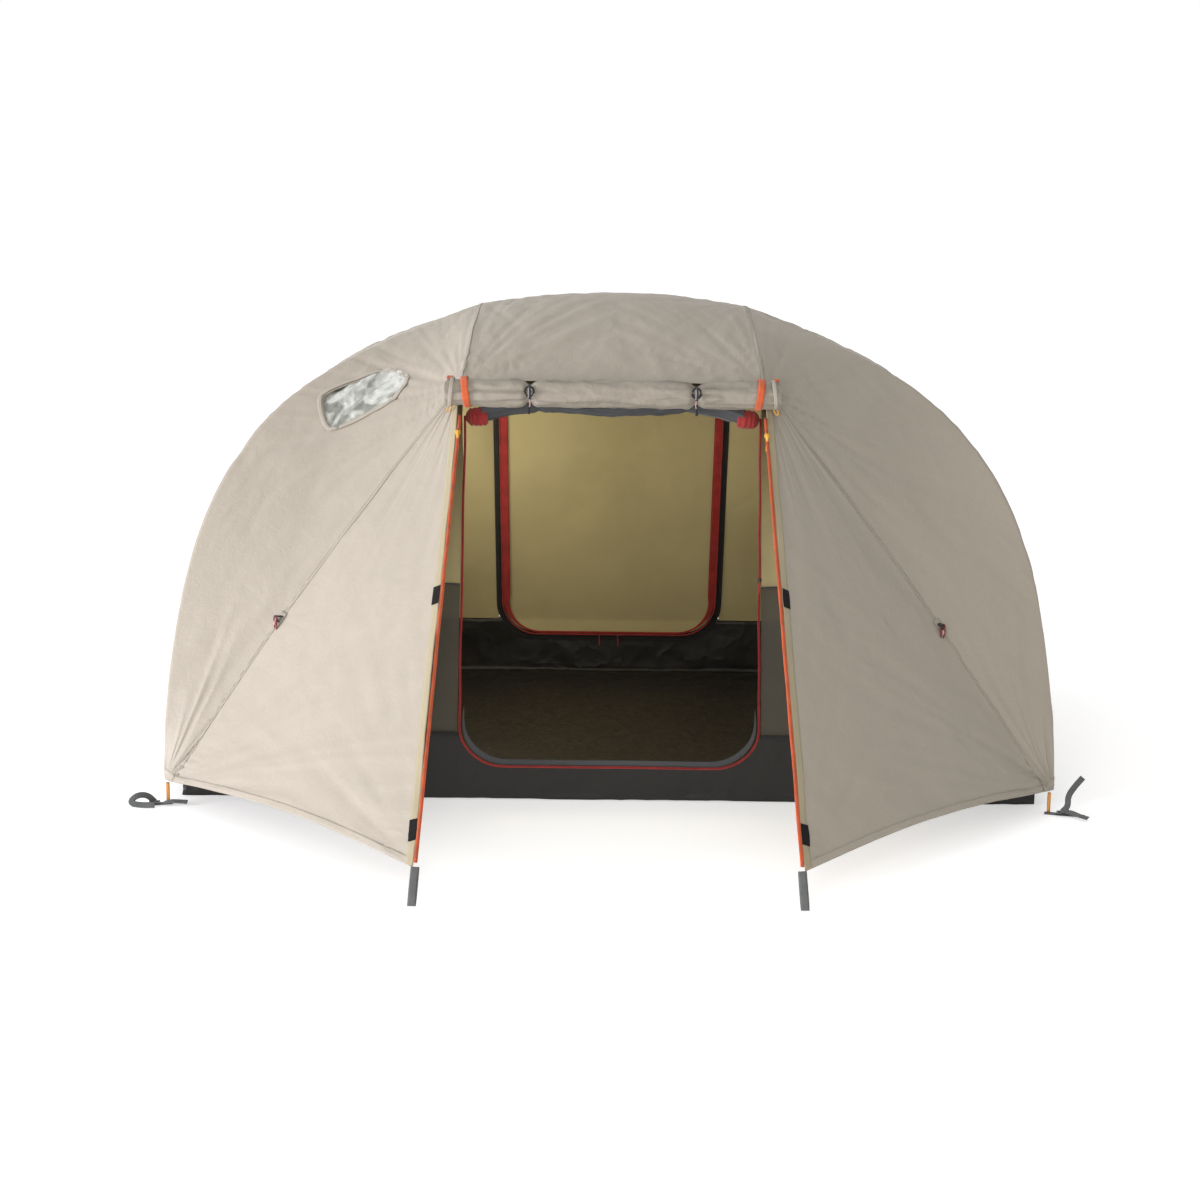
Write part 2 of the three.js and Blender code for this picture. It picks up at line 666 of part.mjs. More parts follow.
function rolledDoor() {
  const profile = [
    [0, -ROLL_HALF], [ROLL_RADIUS, -ROLL_HALF], [ROLL_RADIUS, -TOGGLE_X - 60],
    [ROLL_RADIUS - 5, -TOGGLE_X], [ROLL_RADIUS, -TOGGLE_X + 60], [ROLL_RADIUS, TOGGLE_X - 60],
    [ROLL_RADIUS - 5, TOGGLE_X], [ROLL_RADIUS, TOGGLE_X + 60], [ROLL_RADIUS, ROLL_HALF], [0, ROLL_HALF],
  ];
  const roll = new THREE.LatheGeometry(profile.map(([r, x]) => new THREE.Vector2(r, x)), 20);
  const rolled = addPart('fly_door_roll', roll.rotateZ(-Math.PI / 2), 'fly');
  rolled.position.copy(ROLL_CENTRE);
  for (const [name, side] of [['left', -1], ['right', 1]]) {
    const band = ring(ROLL_RADIUS + 0.8, ROLL_RADIUS + 2.6, 22);
    const strap = addPart(`roll_strap_${name}`, band, 'orange');
    strap.position.set(STRAP_X * side, ROLL_CENTRE.y, ROLL_CENTRE.z);
    const barrel = new THREE.CapsuleGeometry(4, 26, 3, 10).rotateX(Math.PI / 2);
    const toggle = addPart(`roll_toggle_${name}`, barrel, 'buckle');
    toggle.position.set(TOGGLE_X * side, ROLL_CENTRE.y - ROLL_RADIUS - 6, ROLL_CENTRE.z + 4);
  }
}

const ZIP_TOP = lerp(BROW, PEG_CORNER, 0.1);
const ZIP_END = lerp(BROW, PEG_CORNER, 0.985);
const zipDown = ZIP_END.clone().sub(ZIP_TOP).normalize();
const ZIP_LIFT = new THREE.Vector3(0, 0.69, 0.72);

function flyZips() {
  for (const [name, side] of [['left', -1], ['right', 1]]) {
    const lifted = (t) => {
      const point = lerp(ZIP_TOP, ZIP_END, t).addScaledVector(ZIP_LIFT, 4.5);
      point.x += 1;
      return place(point, side, -1);
    };
    addPart(`fly_zip_${name}`, tube(new PathCurve(lifted), 3, 10, 6), 'orange');
    const slider = addPart(`fly_zip_slider_${name}`, sliderBody(16, 22, 8), 'pull');
    const start = lerp(ZIP_TOP, ZIP_END, 0.02).addScaledVector(ZIP_LIFT, 14);
    slider.position.copy(place(start, side, -1));
    slider.rotation.x = -Math.atan2(zipDown.y, -zipDown.z);
    const guy = addPart(`guy_loop_${name}`, block(10, 6, 34, 0, 0, 0), 'buckle');
    const seam = seamLine(GUY_AT).add(new THREE.Vector3(10, 13, 16));
    guy.position.copy(place(seam, side, -1));
    guy.rotation.set(-0.7, 0, 0.3 * side);
  }
}

flyRoofAndRearDoor();
flySides();
flyFlaps();
innerWalls();
addPart('tub_floor', tubFloor(), 'tub');
innerDoorParts();
poleFrame();
groundFittings();
rolledDoor();
flyZips();

export default tent;
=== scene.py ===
"""Looks of the pitched dome tent: fly sheet, inner tent, zips, webbing and trim round the CAD frame.

Metres, in the row frame: +Z up, the open doorway faces -Y.
"""

import math

import bmesh
import bpy
import numpy as np
from mathutils import Matrix, Vector
from mathutils.bvhtree import BVHTree


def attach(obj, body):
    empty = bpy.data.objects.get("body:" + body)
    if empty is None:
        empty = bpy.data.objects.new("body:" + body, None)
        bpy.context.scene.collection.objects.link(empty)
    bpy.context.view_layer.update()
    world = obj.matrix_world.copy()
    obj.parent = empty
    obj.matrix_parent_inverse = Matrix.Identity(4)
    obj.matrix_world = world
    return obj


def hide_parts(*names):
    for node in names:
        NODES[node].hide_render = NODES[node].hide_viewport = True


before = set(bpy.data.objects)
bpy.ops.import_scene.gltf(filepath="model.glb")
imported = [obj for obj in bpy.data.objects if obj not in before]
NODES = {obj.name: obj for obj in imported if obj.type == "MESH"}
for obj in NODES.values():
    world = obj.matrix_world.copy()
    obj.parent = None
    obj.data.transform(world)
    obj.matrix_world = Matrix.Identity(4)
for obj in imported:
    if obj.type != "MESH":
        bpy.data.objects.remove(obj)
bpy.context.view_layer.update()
SIDES = (("left", -1), ("right", 1))
ENDS = (("front", -1), ("rear", 1))


# ------------------------------------------------------------------ camera, light and floor

LENS = 59.14
CAMERA_AT = Vector((-0.0192, -5.5568, 1.5665))
PITCH, YAW, ROLL = (math.radians(a) for a in (12.03, -0.09, 0.637))


def make_camera():
    data = bpy.data.cameras.new("camera")
    data.lens = LENS
    data.sensor_width = 36
    camera = bpy.data.objects.new("camera", data)
    bpy.context.scene.collection.objects.link(camera)
    forward = Vector((
        math.sin(YAW) * math.cos(PITCH),
        math.cos(YAW) * math.cos(PITCH),
        -math.sin(PITCH),
    ))
    level = Vector((math.cos(YAW), -math.sin(YAW), 0))
    above = level.cross(forward)
    right = level * math.cos(ROLL) + above * math.sin(ROLL)
    up = above * math.cos(ROLL) - level * math.sin(ROLL)
    turn = Matrix((right, up, -forward)).transposed()
    camera.matrix_world = Matrix.Translation(CAMERA_AT) @ turn.to_4x4()
    bpy.context.scene.camera = camera


def area_light(name, at, towards, size, power, colour=(1, 1, 1)):
    data = bpy.data.lights.new(name, "AREA")
    data.shape = "DISK"
    data.size = size
    data.energy = power
    data.color = colour
    light = bpy.data.objects.new(name, data)
    bpy.context.scene.collection.objects.link(light)
    light.location = at
    light.rotation_euler = (Vector(towards) - Vector(at)).to_track_quat("-Z", "Y").to_euler()


def point_light(name, at, size, power, colour):
    data = bpy.data.lights.new(name, "POINT")
    data.shadow_soft_size = size
    data.energy = power
    data.color = colour
    light = bpy.data.objects.new(name, data)
    bpy.context.scene.collection.objects.link(light)
    light.location = at


def studio_world():
    """White all round, but darker at +X and behind the camera."""
    world = bpy.data.worlds.new("studio")
    world.use_nodes = True
    nodes, links = world.node_tree.nodes, world.node_tree.links
    background = nodes["Background"]
    background.inputs["Color"].default_value = (1.0, 1.0, 1.0, 1)
    coordinate = nodes.new("ShaderNodeTexCoord")
    axes = nodes.new("ShaderNodeSeparateXYZ")
    links.new(coordinate.outputs["Generated"], axes.inputs[0])
    shades = []
    for axis, limits in ((0, (0.30, 0.90, 1.0, 0.20)), (1, (-0.80, 0.20, 0.62, 1.0))):
        shade = nodes.new("ShaderNodeMapRange")
        for i, value in enumerate(limits, 1):
            shade.inputs[i].default_value = value
        links.new(axes.outputs[axis], shade.inputs[0])
        shades.append(shade)
    both = nodes.new("ShaderNodeMath")
    both.operation = "MULTIPLY"
    for shade, socket in zip(shades, both.inputs):
        links.new(shade.outputs[0], socket)
    links.new(both.outputs[0], background.inputs["Strength"])
    return world


def make_stage():
    scene = bpy.context.scene
    scene.world = studio_world()
    scene.view_settings.view_transform = "Standard"
    area_light("key", (-6.2, -2.9, 1.15), (-0.6, -0.5, 0.55), 2.4, 360, (1.0, 1.0, 1.08))
    area_light("inside_front", (-0.25, -3.6, 1.3), (0, 0.6, 0.62), 0.8, 17, (1.0, 0.97, 0.88))
    point_light("glow_left", (-0.50, 0.05, 0.70), 0.2, 6.0, (1.0, 0.95, 0.80))
    point_light("glow_right", (0.36, -0.1, 0.60), 0.2, 1.8, (1.0, 0.95, 0.80))
    make_floor()


def make_floor():
    data = bpy.data.meshes.new("floor")
    reach = 60.0
    data.from_pydata(
        [(-reach, -reach, 0), (reach, -reach, 0), (reach, reach, 0), (-reach, reach, 0)],
        [], [(0, 1, 2, 3)],
    )
    floor = bpy.data.objects.new("floor", data)
    floor.location.z = -0.001
    bpy.context.scene.collection.objects.link(floor)
    finish = bpy.data.materials.new("floor")
    finish.use_nodes = True
    shader = finish.node_tree.nodes["Principled BSDF"]
    shader.inputs["Base Color"].default_value = (0.80, 0.80, 0.80, 1)
    shader.inputs["Roughness"].default_value = 0.9
    shader.inputs["Specular IOR Level"].default_value = 0.0
    shader.inputs["Emission Color"].default_value = (1, 1, 1, 1)
    shader.inputs["Emission Strength"].default_value = 0.46
    data.materials.append(finish)


# ------------------------------------------------------------------ procedural noise


def noise(points, seed=0):
    """Smooth gradient noise of 3D points, about -1 to 1."""
    place = np.asarray(points, float)
    cell = np.floor(place).astype(np.int64)
    part = place - cell
    eased = part * part * part * (part * (part * 6 - 15) + 10)
    total = np.zeros(place.shape[:-1])
    for corner in np.ndindex(2, 2, 2):
        at = cell + corner
        code = (at[..., 0] * 73856093 ^ at[..., 1] * 19349663 ^ at[..., 2] * 83492791) + seed * 7919
        code = (code & 0xFFFFFFF) * 1274126177 & 0x7FFFFFFF
        code = ((code ^ (code >> 13)) * 668265263) & 0x7FFFFFFF
        code ^= code >> 15
        weight = np.ones(place.shape[:-1])
        slope = np.zeros(place.shape[:-1])
        for axis in range(3):
            away = part[..., axis] - corner[axis]
            slope += (((code >> (10 * axis)) & 1023) / 511.5 - 1) * away
            weight = weight * (eased[..., axis] if corner[axis] else 1 - eased[..., axis])
        total += weight * slope
    return total * 1.5


def creases(points, seed=0, soft=0.06):
    """Ridged noise: sharp crests where the noise crosses zero, rounded by soft."""
    value = noise(points, seed)
    return 0.5 - np.sqrt(value * value + soft * soft) * 1.6


def unit(a):
    a = np.asarray(a, float)
    return a / np.maximum(np.linalg.norm(a, axis=-1, keepdims=True), 1e-9)


def fan(points, anchor, normal, reach, folds, height, seed, upright=False):
    """Folds that fan out from a place where the cloth is pulled."""
    away = points - anchor
    distance = np.linalg.norm(away, axis=-1)
    if upright:
        turn = np.arctan2(away[..., 2], np.hypot(away[..., 0], away[..., 1]))
    else:
        normal = unit(normal)
        first = unit(np.array([-normal[1], normal[0], 1e-6]))
        second = np.cross(normal, first)
        turn = np.arctan2(away @ second, away @ first)
    place = np.stack([turn * folds, distance * 2.2, np.full_like(distance, 0.37 + seed)], -1)
    return height * creases(place, seed, 0.05) * np.exp(-distance / reach) * np.clip(distance / 0.05, 0, 1)


# ------------------------------------------------------------------ meshes and pieces


def link(name, mesh, material, body="tent", slot=None, replaces=(), thick=0.0, offset=-1.0):
    """Makes a piece of a mesh: material, optional thickness, and what it rides on."""
    piece = bpy.data.objects.new(name, mesh)
    bpy.context.scene.collection.objects.link(piece)
    mesh.materials.append(MATERIALS[material])
    mesh.polygons.foreach_set("use_smooth", [True] * len(mesh.polygons))
    if thick:
        solid = piece.modifiers.new("thickness", "SOLIDIFY")
        solid.thickness = thick
        solid.offset = offset
        solid.use_even_offset = False
    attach(piece, body)
    if replaces:
        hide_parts(*replaces)
    return piece


def grid_faces(rows, cols, closed=False, start=0):
    wide = cols if closed else cols - 1
    row, col = np.meshgrid(np.arange(rows - 1), np.arange(wide), indexing="ij")
    ahead = (col + 1) % cols
    this, below = row * cols, (row + 1) * cols
    quads = np.stack([this + col, this + ahead, below + ahead, below + col], -1)
    return quads.reshape(-1, 4) + start


def arc_uv(points):
    """Distance along and down a grid of points, for weave that keeps its real scale."""
    along = np.linalg.norm(np.diff(points, axis=1), axis=-1).cumsum(1)
    down = np.linalg.norm(np.diff(points, axis=0), axis=-1).cumsum(0)
    u = np.concatenate([np.zeros((len(points), 1)), along], 1)
    v = np.concatenate([np.zeros((1, points.shape[1])), down], 0)
    return np.stack([u, v], -1)


def mesh_of(name, grids, closed=False, weld=1e-5, keep=None, outward=None):
    """One welded mesh of several grids of points. keep holds one mask of faces per grid."""
    points, faces, uvs = [], [], []
    start = 0
    for i, grid in enumerate(grids):
        rows, cols = grid.shape[:2]
        quads = grid_faces(rows, cols, closed, start)
        if keep is not None and keep[i] is not None:
            quads = quads[keep[i].reshape(-1)]
        points.append(grid.reshape(-1, 3))
        uvs.append(arc_uv(grid).reshape(-1, 2))
        faces.append(quads)
        start += rows * cols
    points, faces, uvs = (np.concatenate(x) for x in (points, faces, uvs))
    mesh = bpy.data.meshes.new(name)
    mesh.from_pydata(points.tolist(), [], faces.tolist())
    layer = mesh.uv_layers.new(name="cloth")
    layer.data.foreach_set("uv", uvs[faces.reshape(-1)].reshape(-1))
    bm = bmesh.new()
    bm.from_mesh(mesh)
    bmesh.ops.remove_doubles(bm, verts=bm.verts, dist=weld)
    loose = [v for v in bm.verts if not v.link_faces]
    bmesh.ops.delete(bm, geom=loose, context="VERTS")
    if outward is not None:
        bmesh.ops.recalc_face_normals(bm, faces=bm.faces)
        centre = Vector(outward)
        side = sum((face.calc_center_median() - centre).dot(face.normal) for face in bm.faces)
        if side < 0:
            bmesh.ops.reverse_faces(bm, faces=bm.faces)
    bm.to_mesh(mesh)
    bm.free()
    return mesh


def coordinates(mesh):
    flat = np.empty(len(mesh.vertices) * 3)
    mesh.vertices.foreach_get("co", flat)
    return flat.reshape(-1, 3)


def normals(mesh):
    flat = np.empty(len(mesh.vertices) * 3, np.float32)
    mesh.vertex_normals.foreach_get("vector", flat)
    return flat.reshape(-1, 3).astype(float)


def displace(mesh, height, low=-0.004, high=0.012):
    """Moves each vertex along its normal by height(points), held between low and high."""
    points = coordinates(mesh)
    lift = np.clip(height(points), low, high)
    points = points + normals(mesh) * lift[:, None]
    mesh.vertices.foreach_set("co", points.reshape(-1))
    mesh.update()


def tree_of(mesh):
    return BVHTree.FromPolygons(
        [v.co for v in mesh.vertices], [p.vertices[:] for p in mesh.polygons]
    )


def nearest(tree, points):
    """The nearest places on a surface to some points, and the surface's normals there."""
    flat = points.reshape(-1, 3)
    at, facing = np.empty_like(flat), np.empty_like(flat)
    for i, p in enumerate(flat):
        at[i], facing[i] = tree.find_nearest(p)[:2]
    return at.reshape(points.shape), facing.reshape(points.shape)


def smoothed(values, rounds=3, loop=False):
    for _ in range(rounds):
        if loop:
            values = (np.roll(values, 1, 0) + 2 * values + np.roll(values, -1, 0)) / 4
        else:
            inner = (values[:-2] + 2 * values[1:-1] + values[2:]) / 4
            values = np.concatenate([values[:1], inner, values[-1:]])
    return values


def along_path(path, loop=False):
    if loop:
        return unit(np.roll(path, -1, 0) - np.roll(path, 1, 0))
    return unit(np.gradient(path, axis=0))


def ribbon_points(path, facing, width, lift=0.0, cols=4, tree=None, loop=False, crown=0.0):
    """A band along a path: a grid of points across its width, lifted off the surface."""
    run = along_path(path, loop)
    across = unit(np.cross(run, facing))
    width = np.broadcast_to(width, (len(path),))
    share = np.linspace(-0.5, 0.5, cols + 1)
    flat = path[:, None] + across[:, None] * (share[None, :, None] * width[:, None, None])
    rise = lift + crown * (1 - (2 * share) ** 2)
    up = np.repeat(facing[:, None], cols + 1, 1)
    if tree is not None:
        held, normal = nearest(tree, flat)
        normal = unit(normal + 2 * up)
        return held + normal * rise[None, :, None]
    return flat + up * rise[None, :, None]


def ribbon(name, path, facing, width, material, lift=0.0, thick=0.0009, cols=4, tree=None,
           loop=False, crown=0.0, **facts):
    grid = ribbon_points(path, facing, width, lift, cols, tree, loop, crown)
    if loop:
        grid = np.concatenate([grid, grid[:1]])
    mesh = mesh_of(name, [grid])
    return link(name, mesh, material, thick=thick, offset=0.0, **facts)


def cable(name, path, radius, material, sides=8, loop=False, **facts):
    """A round cord along a path, with closed ends."""
    path = np.asarray(path, float)
    run = along_path(path, loop)
    up = np.array([0.31, 0.17, 0.93])
    first = unit(np.cross(run, up))
    second = np.cross(run, first)
    turn = np.linspace(0, 2 * math.pi, sides, endpoint=False)
    radius = np.broadcast_to(radius, (len(path),))[:, None, None]
    ring = first[:, None] * np.cos(turn)[None, :, None] + second[:, None] * np.sin(turn)[None, :, None]
    grid = path[:, None] + ring * radius
    if loop:
        grid = np.concatenate([grid, grid[:1]])
    else:
        tips = [np.repeat(tip[None, None], sides, 1) for tip in (path[0], path[-1])]
        grid = np.concatenate([tips[0], grid, tips[1]])
    mesh = mesh_of(name, [grid], closed=True, weld=1e-6)
    fix_facing(mesh)
    return link(name, mesh, material, **facts)


def cord(name, path, radius, material, far_end, pieces=(), **facts):
    """A cord along a path: a round cable with closed ends."""
    piece = cable(name, path, radius, material, **facts)
    return piece


def fix_facing(mesh):
    bm = bmesh.new()
    bm.from_mesh(mesh)
    bmesh.ops.recalc_face_normals(bm, faces=bm.faces)
    bm.to_mesh(mesh)
    bm.free()


def resample(path, step, loop=False):
    """The same path with points a fixed step apart."""
    path = np.asarray(path, float)
    if loop:
        path = np.concatenate([path, path[:1]])
    length = np.concatenate([[0], np.linalg.norm(np.diff(path, axis=0), axis=1).cumsum()])
    count = max(int(length[-1] / step), 3)
    at = np.linspace(0, length[-1], count + 1)
    out = np.stack([np.interp(at, length, path[:, k]) for k in range(path.shape[1])], -1)
    return out[:-1] if loop else out


def bent(points, rounds=2):
    """A path with its corners cut off."""
    points = np.asarray(points, float)
    for _ in range(rounds):
        near = points[:-1] * 0.75 + points[1:] * 0.25
        far = points[:-1] * 0.25 + points[1:] * 0.75
        middle = np.stack([near, far], 1).reshape(-1, points.shape[1])
        points = np.concatenate([points[:1], middle, points[-1:]])
    return points


# ------------------------------------------------------------------ materials


# A wave texture makes 1 / 0.314 bands for each unit of its scale.
WAVE_SCALE = 0.314


class Finish:
    """A principled material and short calls to add nodes to it."""

    def __init__(self, name, roughness=0.7, metallic=0.0, sheen=0.0, alpha=1.0, specular=0.4):
        self.material = bpy.data.materials.new(name)
        self.material.use_nodes = True
        self.tree = self.material.node_tree
        self.shader = self.tree.nodes["Principled BSDF"]
        self.set("Roughness", roughness)
        self.set("Metallic", metallic)
        self.set("Sheen Weight", sheen)
        self.set("Alpha", alpha)
        self.set("Specular IOR Level", specular)
        self.height = None
        coordinate = self.add("ShaderNodeTexCoord")
        self.object = coordinate.outputs["Object"]
        self.cloth = coordinate.outputs["UV"]

    def set(self, socket, value):
        self.shader.inputs[socket].default_value = value

    def add(self, kind, inputs=(), **settings):
        """A new node. Each input is set to a value or joined to another node's output."""
        node = self.tree.nodes.new(kind)
        for key, value in settings.items():
            setattr(node, key, value)
        for key, value in dict(inputs).items():
            if isinstance(value, bpy.types.NodeSocket):
                self.join(value, node.inputs[key])
            else:
                node.inputs[key].default_value = value
        return node

    def join(self, out, into):
        self.tree.links.new(out, into)

    def noise(self, scale, detail=3.0, vector=None, stretch=None, kind="FBM", distortion=0.0):
        place = self.stretched(vector or self.object, stretch)
        inputs = {"Scale": scale, "Detail": detail, "Distortion": distortion, "Vector": place}
        return self.add("ShaderNodeTexNoise", inputs, noise_type=kind).outputs[0]

    def stretched(self, vector, stretch):
        if stretch is None:
            return vector
        return self.add("ShaderNodeMapping", {"Scale": stretch, "Vector": vector}).outputs[0]

    def folded_space(self):
        """Places folded into one quarter, so that creases mirror as the tent's panels do."""
        x, y, z = self.add("ShaderNodeSeparateXYZ", {0: self.object}).outputs
        x, y = (self.maths("ABSOLUTE", axis, 0.0) for axis in (x, y))
        return self.add("ShaderNodeCombineXYZ", {0: x, 1: y, 2: z}).outputs[0]

    def streaks(self, vector, way, scale, thin, shift):
        """Ridged noise drawn out along a direction."""
        way = Vector(way).normalized()
        first = way.cross(Vector((0.3, 0.9, 0.2))).normalized()
        turn = Matrix((first, way.cross(first), way)).to_euler("XYZ")
        node = self.add("ShaderNodeMapping", {
            "Rotation": turn, "Location": (shift, shift * 0.7, 0), "Vector": vector,
        })
        return self.noise(scale, 1.5, node.outputs[0], (1, 1, thin), "RIDGED_MULTIFRACTAL", 0.25)

    def cells(self, scale):
        """Crumpled facets: a Voronoi pattern whose places are pushed about by noise."""
        push = self.add("ShaderNodeTexNoise", {"Scale": scale * 0.8, "Detail": 2.0, "Vector": self.object})
        mixed = self.add("ShaderNodeMix", {0: 0.12, 4: self.object, 5: push.outputs[1]}, data_type="VECTOR")
        node = self.add("ShaderNodeTexVoronoi", {"Scale": scale, "Vector": mixed.outputs[1]})
        return node.outputs["Distance"]

    def waves(self, pitch, axis):
        """Fine parallel threads, one every pitch metres."""
        inputs = {"Scale": WAVE_SCALE / pitch, "Vector": self.cloth}
        return self.add("ShaderNodeTexWave", inputs, bands_direction=axis).outputs[1]

    def maths(self, how, a, b):
        return self.add("ShaderNodeMath", {0: a, 1: b}, operation=how).outputs[0]

    def ranged(self, value, low, high, start=0.0, end=1.0):
        inputs = {0: value, 1: start, 2: end, 3: low, 4: high}
        return self.add("ShaderNodeMapRange", inputs).outputs[0]

    def colour(self, share, first, second):
        first, second = ((*c, 1) if isinstance(c, tuple) else c for c in (first, second))
        inputs = {0: share, 6: first, 7: second}
        return self.add("ShaderNodeMix", inputs, data_type="RGBA").outputs[2]

    def paint(self, colour):
        self.join(colour, self.shader.inputs["Base Color"])

    def gloss(self, scale, low, high):
        """Roughness that wanders between two values."""
        self.join(self.ranged(self.noise(scale, 3.0), low, high), self.shader.inputs["Roughness"])

    def bump(self, height, distance, strength=1.0):
        node = self.add("ShaderNodeBump", {"Distance": distance, "Strength": strength, "Height": height})
        if self.height is not None:
            self.join(self.height, node.inputs["Normal"])
        self.height = node.outputs[0]
        self.join(self.height, self.shader.inputs["Normal"])


def darker(colour, by):
    return tuple(c * by for c in colour)


def cloth(name, colour, roughness=0.6, sheen=0.1, crumple=0.004, scale=11.0, pitch=0.0008,
          weave=0.00012, vary=0.1, alpha=1.0, specular=0.4):
    """Woven cloth: threads, soft creases, and slow changes of shade."""
    finish = Finish(name, roughness, 0.0, sheen, alpha, specular)
    slow = finish.ranged(finish.noise(2.6, 4.0), 0.0, 1.0, 0.3, 0.7)
    threads = finish.maths("MULTIPLY", finish.waves(pitch, "X"), finish.waves(pitch, "Y"))
    base = finish.colour(slow, darker(colour, 1 - vary), darker(colour, 1 + vary * 0.5))
    finish.paint(finish.colour(finish.ranged(threads, 0.0, 0.10), base, darker(colour, 0.6)))
    finish.gloss(6.0, roughness - 0.07, roughness + 0.09)
    finish.bump(threads, weave, 0.5)
    finish.bump(finish.noise(scale * 3.2, 5.0, kind="RIDGED_MULTIFRACTAL"), crumple * 0.12, 0.6)
    finish.bump(finish.cells(scale), crumple, 0.7)
    return finish.material


SEAM_WAY = (0.60, 0.30, -0.74)
EDGE_WAY = (0.02, 0.72, -0.69)
LEG_WAY = (0.25, 0.17, -0.95)
LEVEL_WAY = (0.83, 0.50, 0.25)


def taffeta(name, colour, roughness, vary, strength):
    """Coated fly cloth: straight sharp creases in a few directions, small crinkles, fine thread."""
    finish = Finish(name, roughness, 0.0, 0.03, 1.0, 0.22)
    even = finish.folded_space()
    slow = finish.ranged(finish.noise(1.6, 3.0), 0.0, 1.0, 0.32, 0.68)
    threads = finish.maths("MULTIPLY", finish.waves(THREAD_PITCH, "X"), finish.waves(THREAD_PITCH, "Y"))
    base = finish.colour(slow, darker(colour, 1 - vary), darker(colour, 1 + vary * 0.4))
    finish.paint(finish.colour(finish.ranged(threads, 0.0, 0.06), base, darker(colour, 0.7)))
    finish.gloss(4.0, roughness - 0.07, roughness + 0.09)
    finish.bump(threads, 0.0001, 0.5)
    finish.bump(finish.cells(42.0), 0.0010 * strength, 0.5)
    finish.bump(finish.cells(15.0), 0.0024 * strength, 0.5)
    lines = None
    for k, (way, scale, thin) in enumerate((
        (SEAM_WAY, 15.0, 0.10), (EDGE_WAY, 13.0, 0.14), (LEG_WAY, 17.0, 0.10), (LEVEL_WAY, 21.0, 0.22),
    )):
        ridge = finish.streaks(even, way, scale, thin, 3.7 * k)
        where = finish.ranged(finish.noise(3.1 + 0.6 * k, 2.0, distortion=0.6), 0.0, 1.0, 0.50, 0.66)
        both = finish.maths("MULTIPLY", ridge, where)
        lines = both if lines is None else finish.maths("ADD", lines, both)
    finish.bump(lines, 0.0034 * strength, 0.9)
    return finish.material


def webbing(name, colour, roughness=0.75, pitch=0.0016):
    finish = Finish(name, roughness, 0.0, 0.15)
    rib = finish.waves(pitch, "Y")
    herringbone = finish.maths("MULTIPLY", rib, finish.waves(pitch * 0.8, "DIAGONAL"))
    slow = finish.ranged(finish.noise(30.0, 3.0), 0.0, 1.0, 0.3, 0.7)
    base = finish.colour(slow, darker(colour, 0.8), darker(colour, 1.15))
    finish.paint(finish.colour(finish.ranged(herringbone, 0.0, 0.45), base, darker(colour, 0.5)))
    finish.bump(herringbone, 0.0005, 0.8)
    finish.bump(finish.noise(220.0, 2.0), 0.0002, 0.5)
    return finish.material


def moulded(name, colour, roughness, clear=0.0):
    finish = Finish(name, roughness)
    finish.set("Coat Weight", clear)
    slow = finish.ranged(finish.noise(60.0, 3.0), 0.0, 1.0, 0.3, 0.7)
    finish.paint(finish.colour(slow, darker(colour, 0.85), darker(colour, 1.2)))
    finish.gloss(120.0, roughness - 0.08, roughness + 0.12)
    finish.bump(finish.noise(900.0, 2.0), 0.00015, 0.5)
    return finish.material


def anodised(name, colour, roughness):
    finish = Finish(name, roughness, 0.9)
    slow = finish.ranged(finish.noise(14.0, 3.0), 0.0, 1.0, 0.3, 0.7)
    base = finish.colour(slow, darker(colour, 0.88), darker(colour, 1.1))
    scratch = finish.ranged(finish.noise(90.0, 4.0, stretch=(1, 1, 0.08)), 0.0, 0.35, 0.55, 0.8)
    finish.paint(finish.colour(scratch, base, darker(colour, 0.62)))
    finish.gloss(160.0, roughness - 0.08, roughness + 0.15)
    finish.bump(finish.noise(500.0, 2.0, stretch=(1, 1, 0.1)), 0.0001, 0.4)
    return finish.material


def film(name):
    """Clear window film: glossy and full of sharp slanting folds, its colour painted in streaks: pale grey as
    painted highlights on the folds, dark grey-green between them.
    """
    finish = Finish(name, 0.2, 0.0, 0.0, 0.8, 0.6)
    finish.set("Coat Weight", 0.4)
    folds = finish.noise(16.0, 5.0, stretch=(1.0, 1.0, 0.5), distortion=1.2)
    painted_highlight_streak = finish.ranged(folds, 0.0, 1.0, 0.42, 0.6)
    # Painted highlights: the colour runs from dark grey-green to pale grey along the fold streaks.
    finish.paint(finish.colour(painted_highlight_streak, (0.26, 0.27, 0.23), (0.70, 0.71, 0.66)))
    finish.bump(finish.noise(70.0, 4.0, kind="RIDGED_MULTIFRACTAL"), 0.001, 0.5)
    finish.bump(finish.cells(24.0), 0.004, 0.8)
    return finish.material


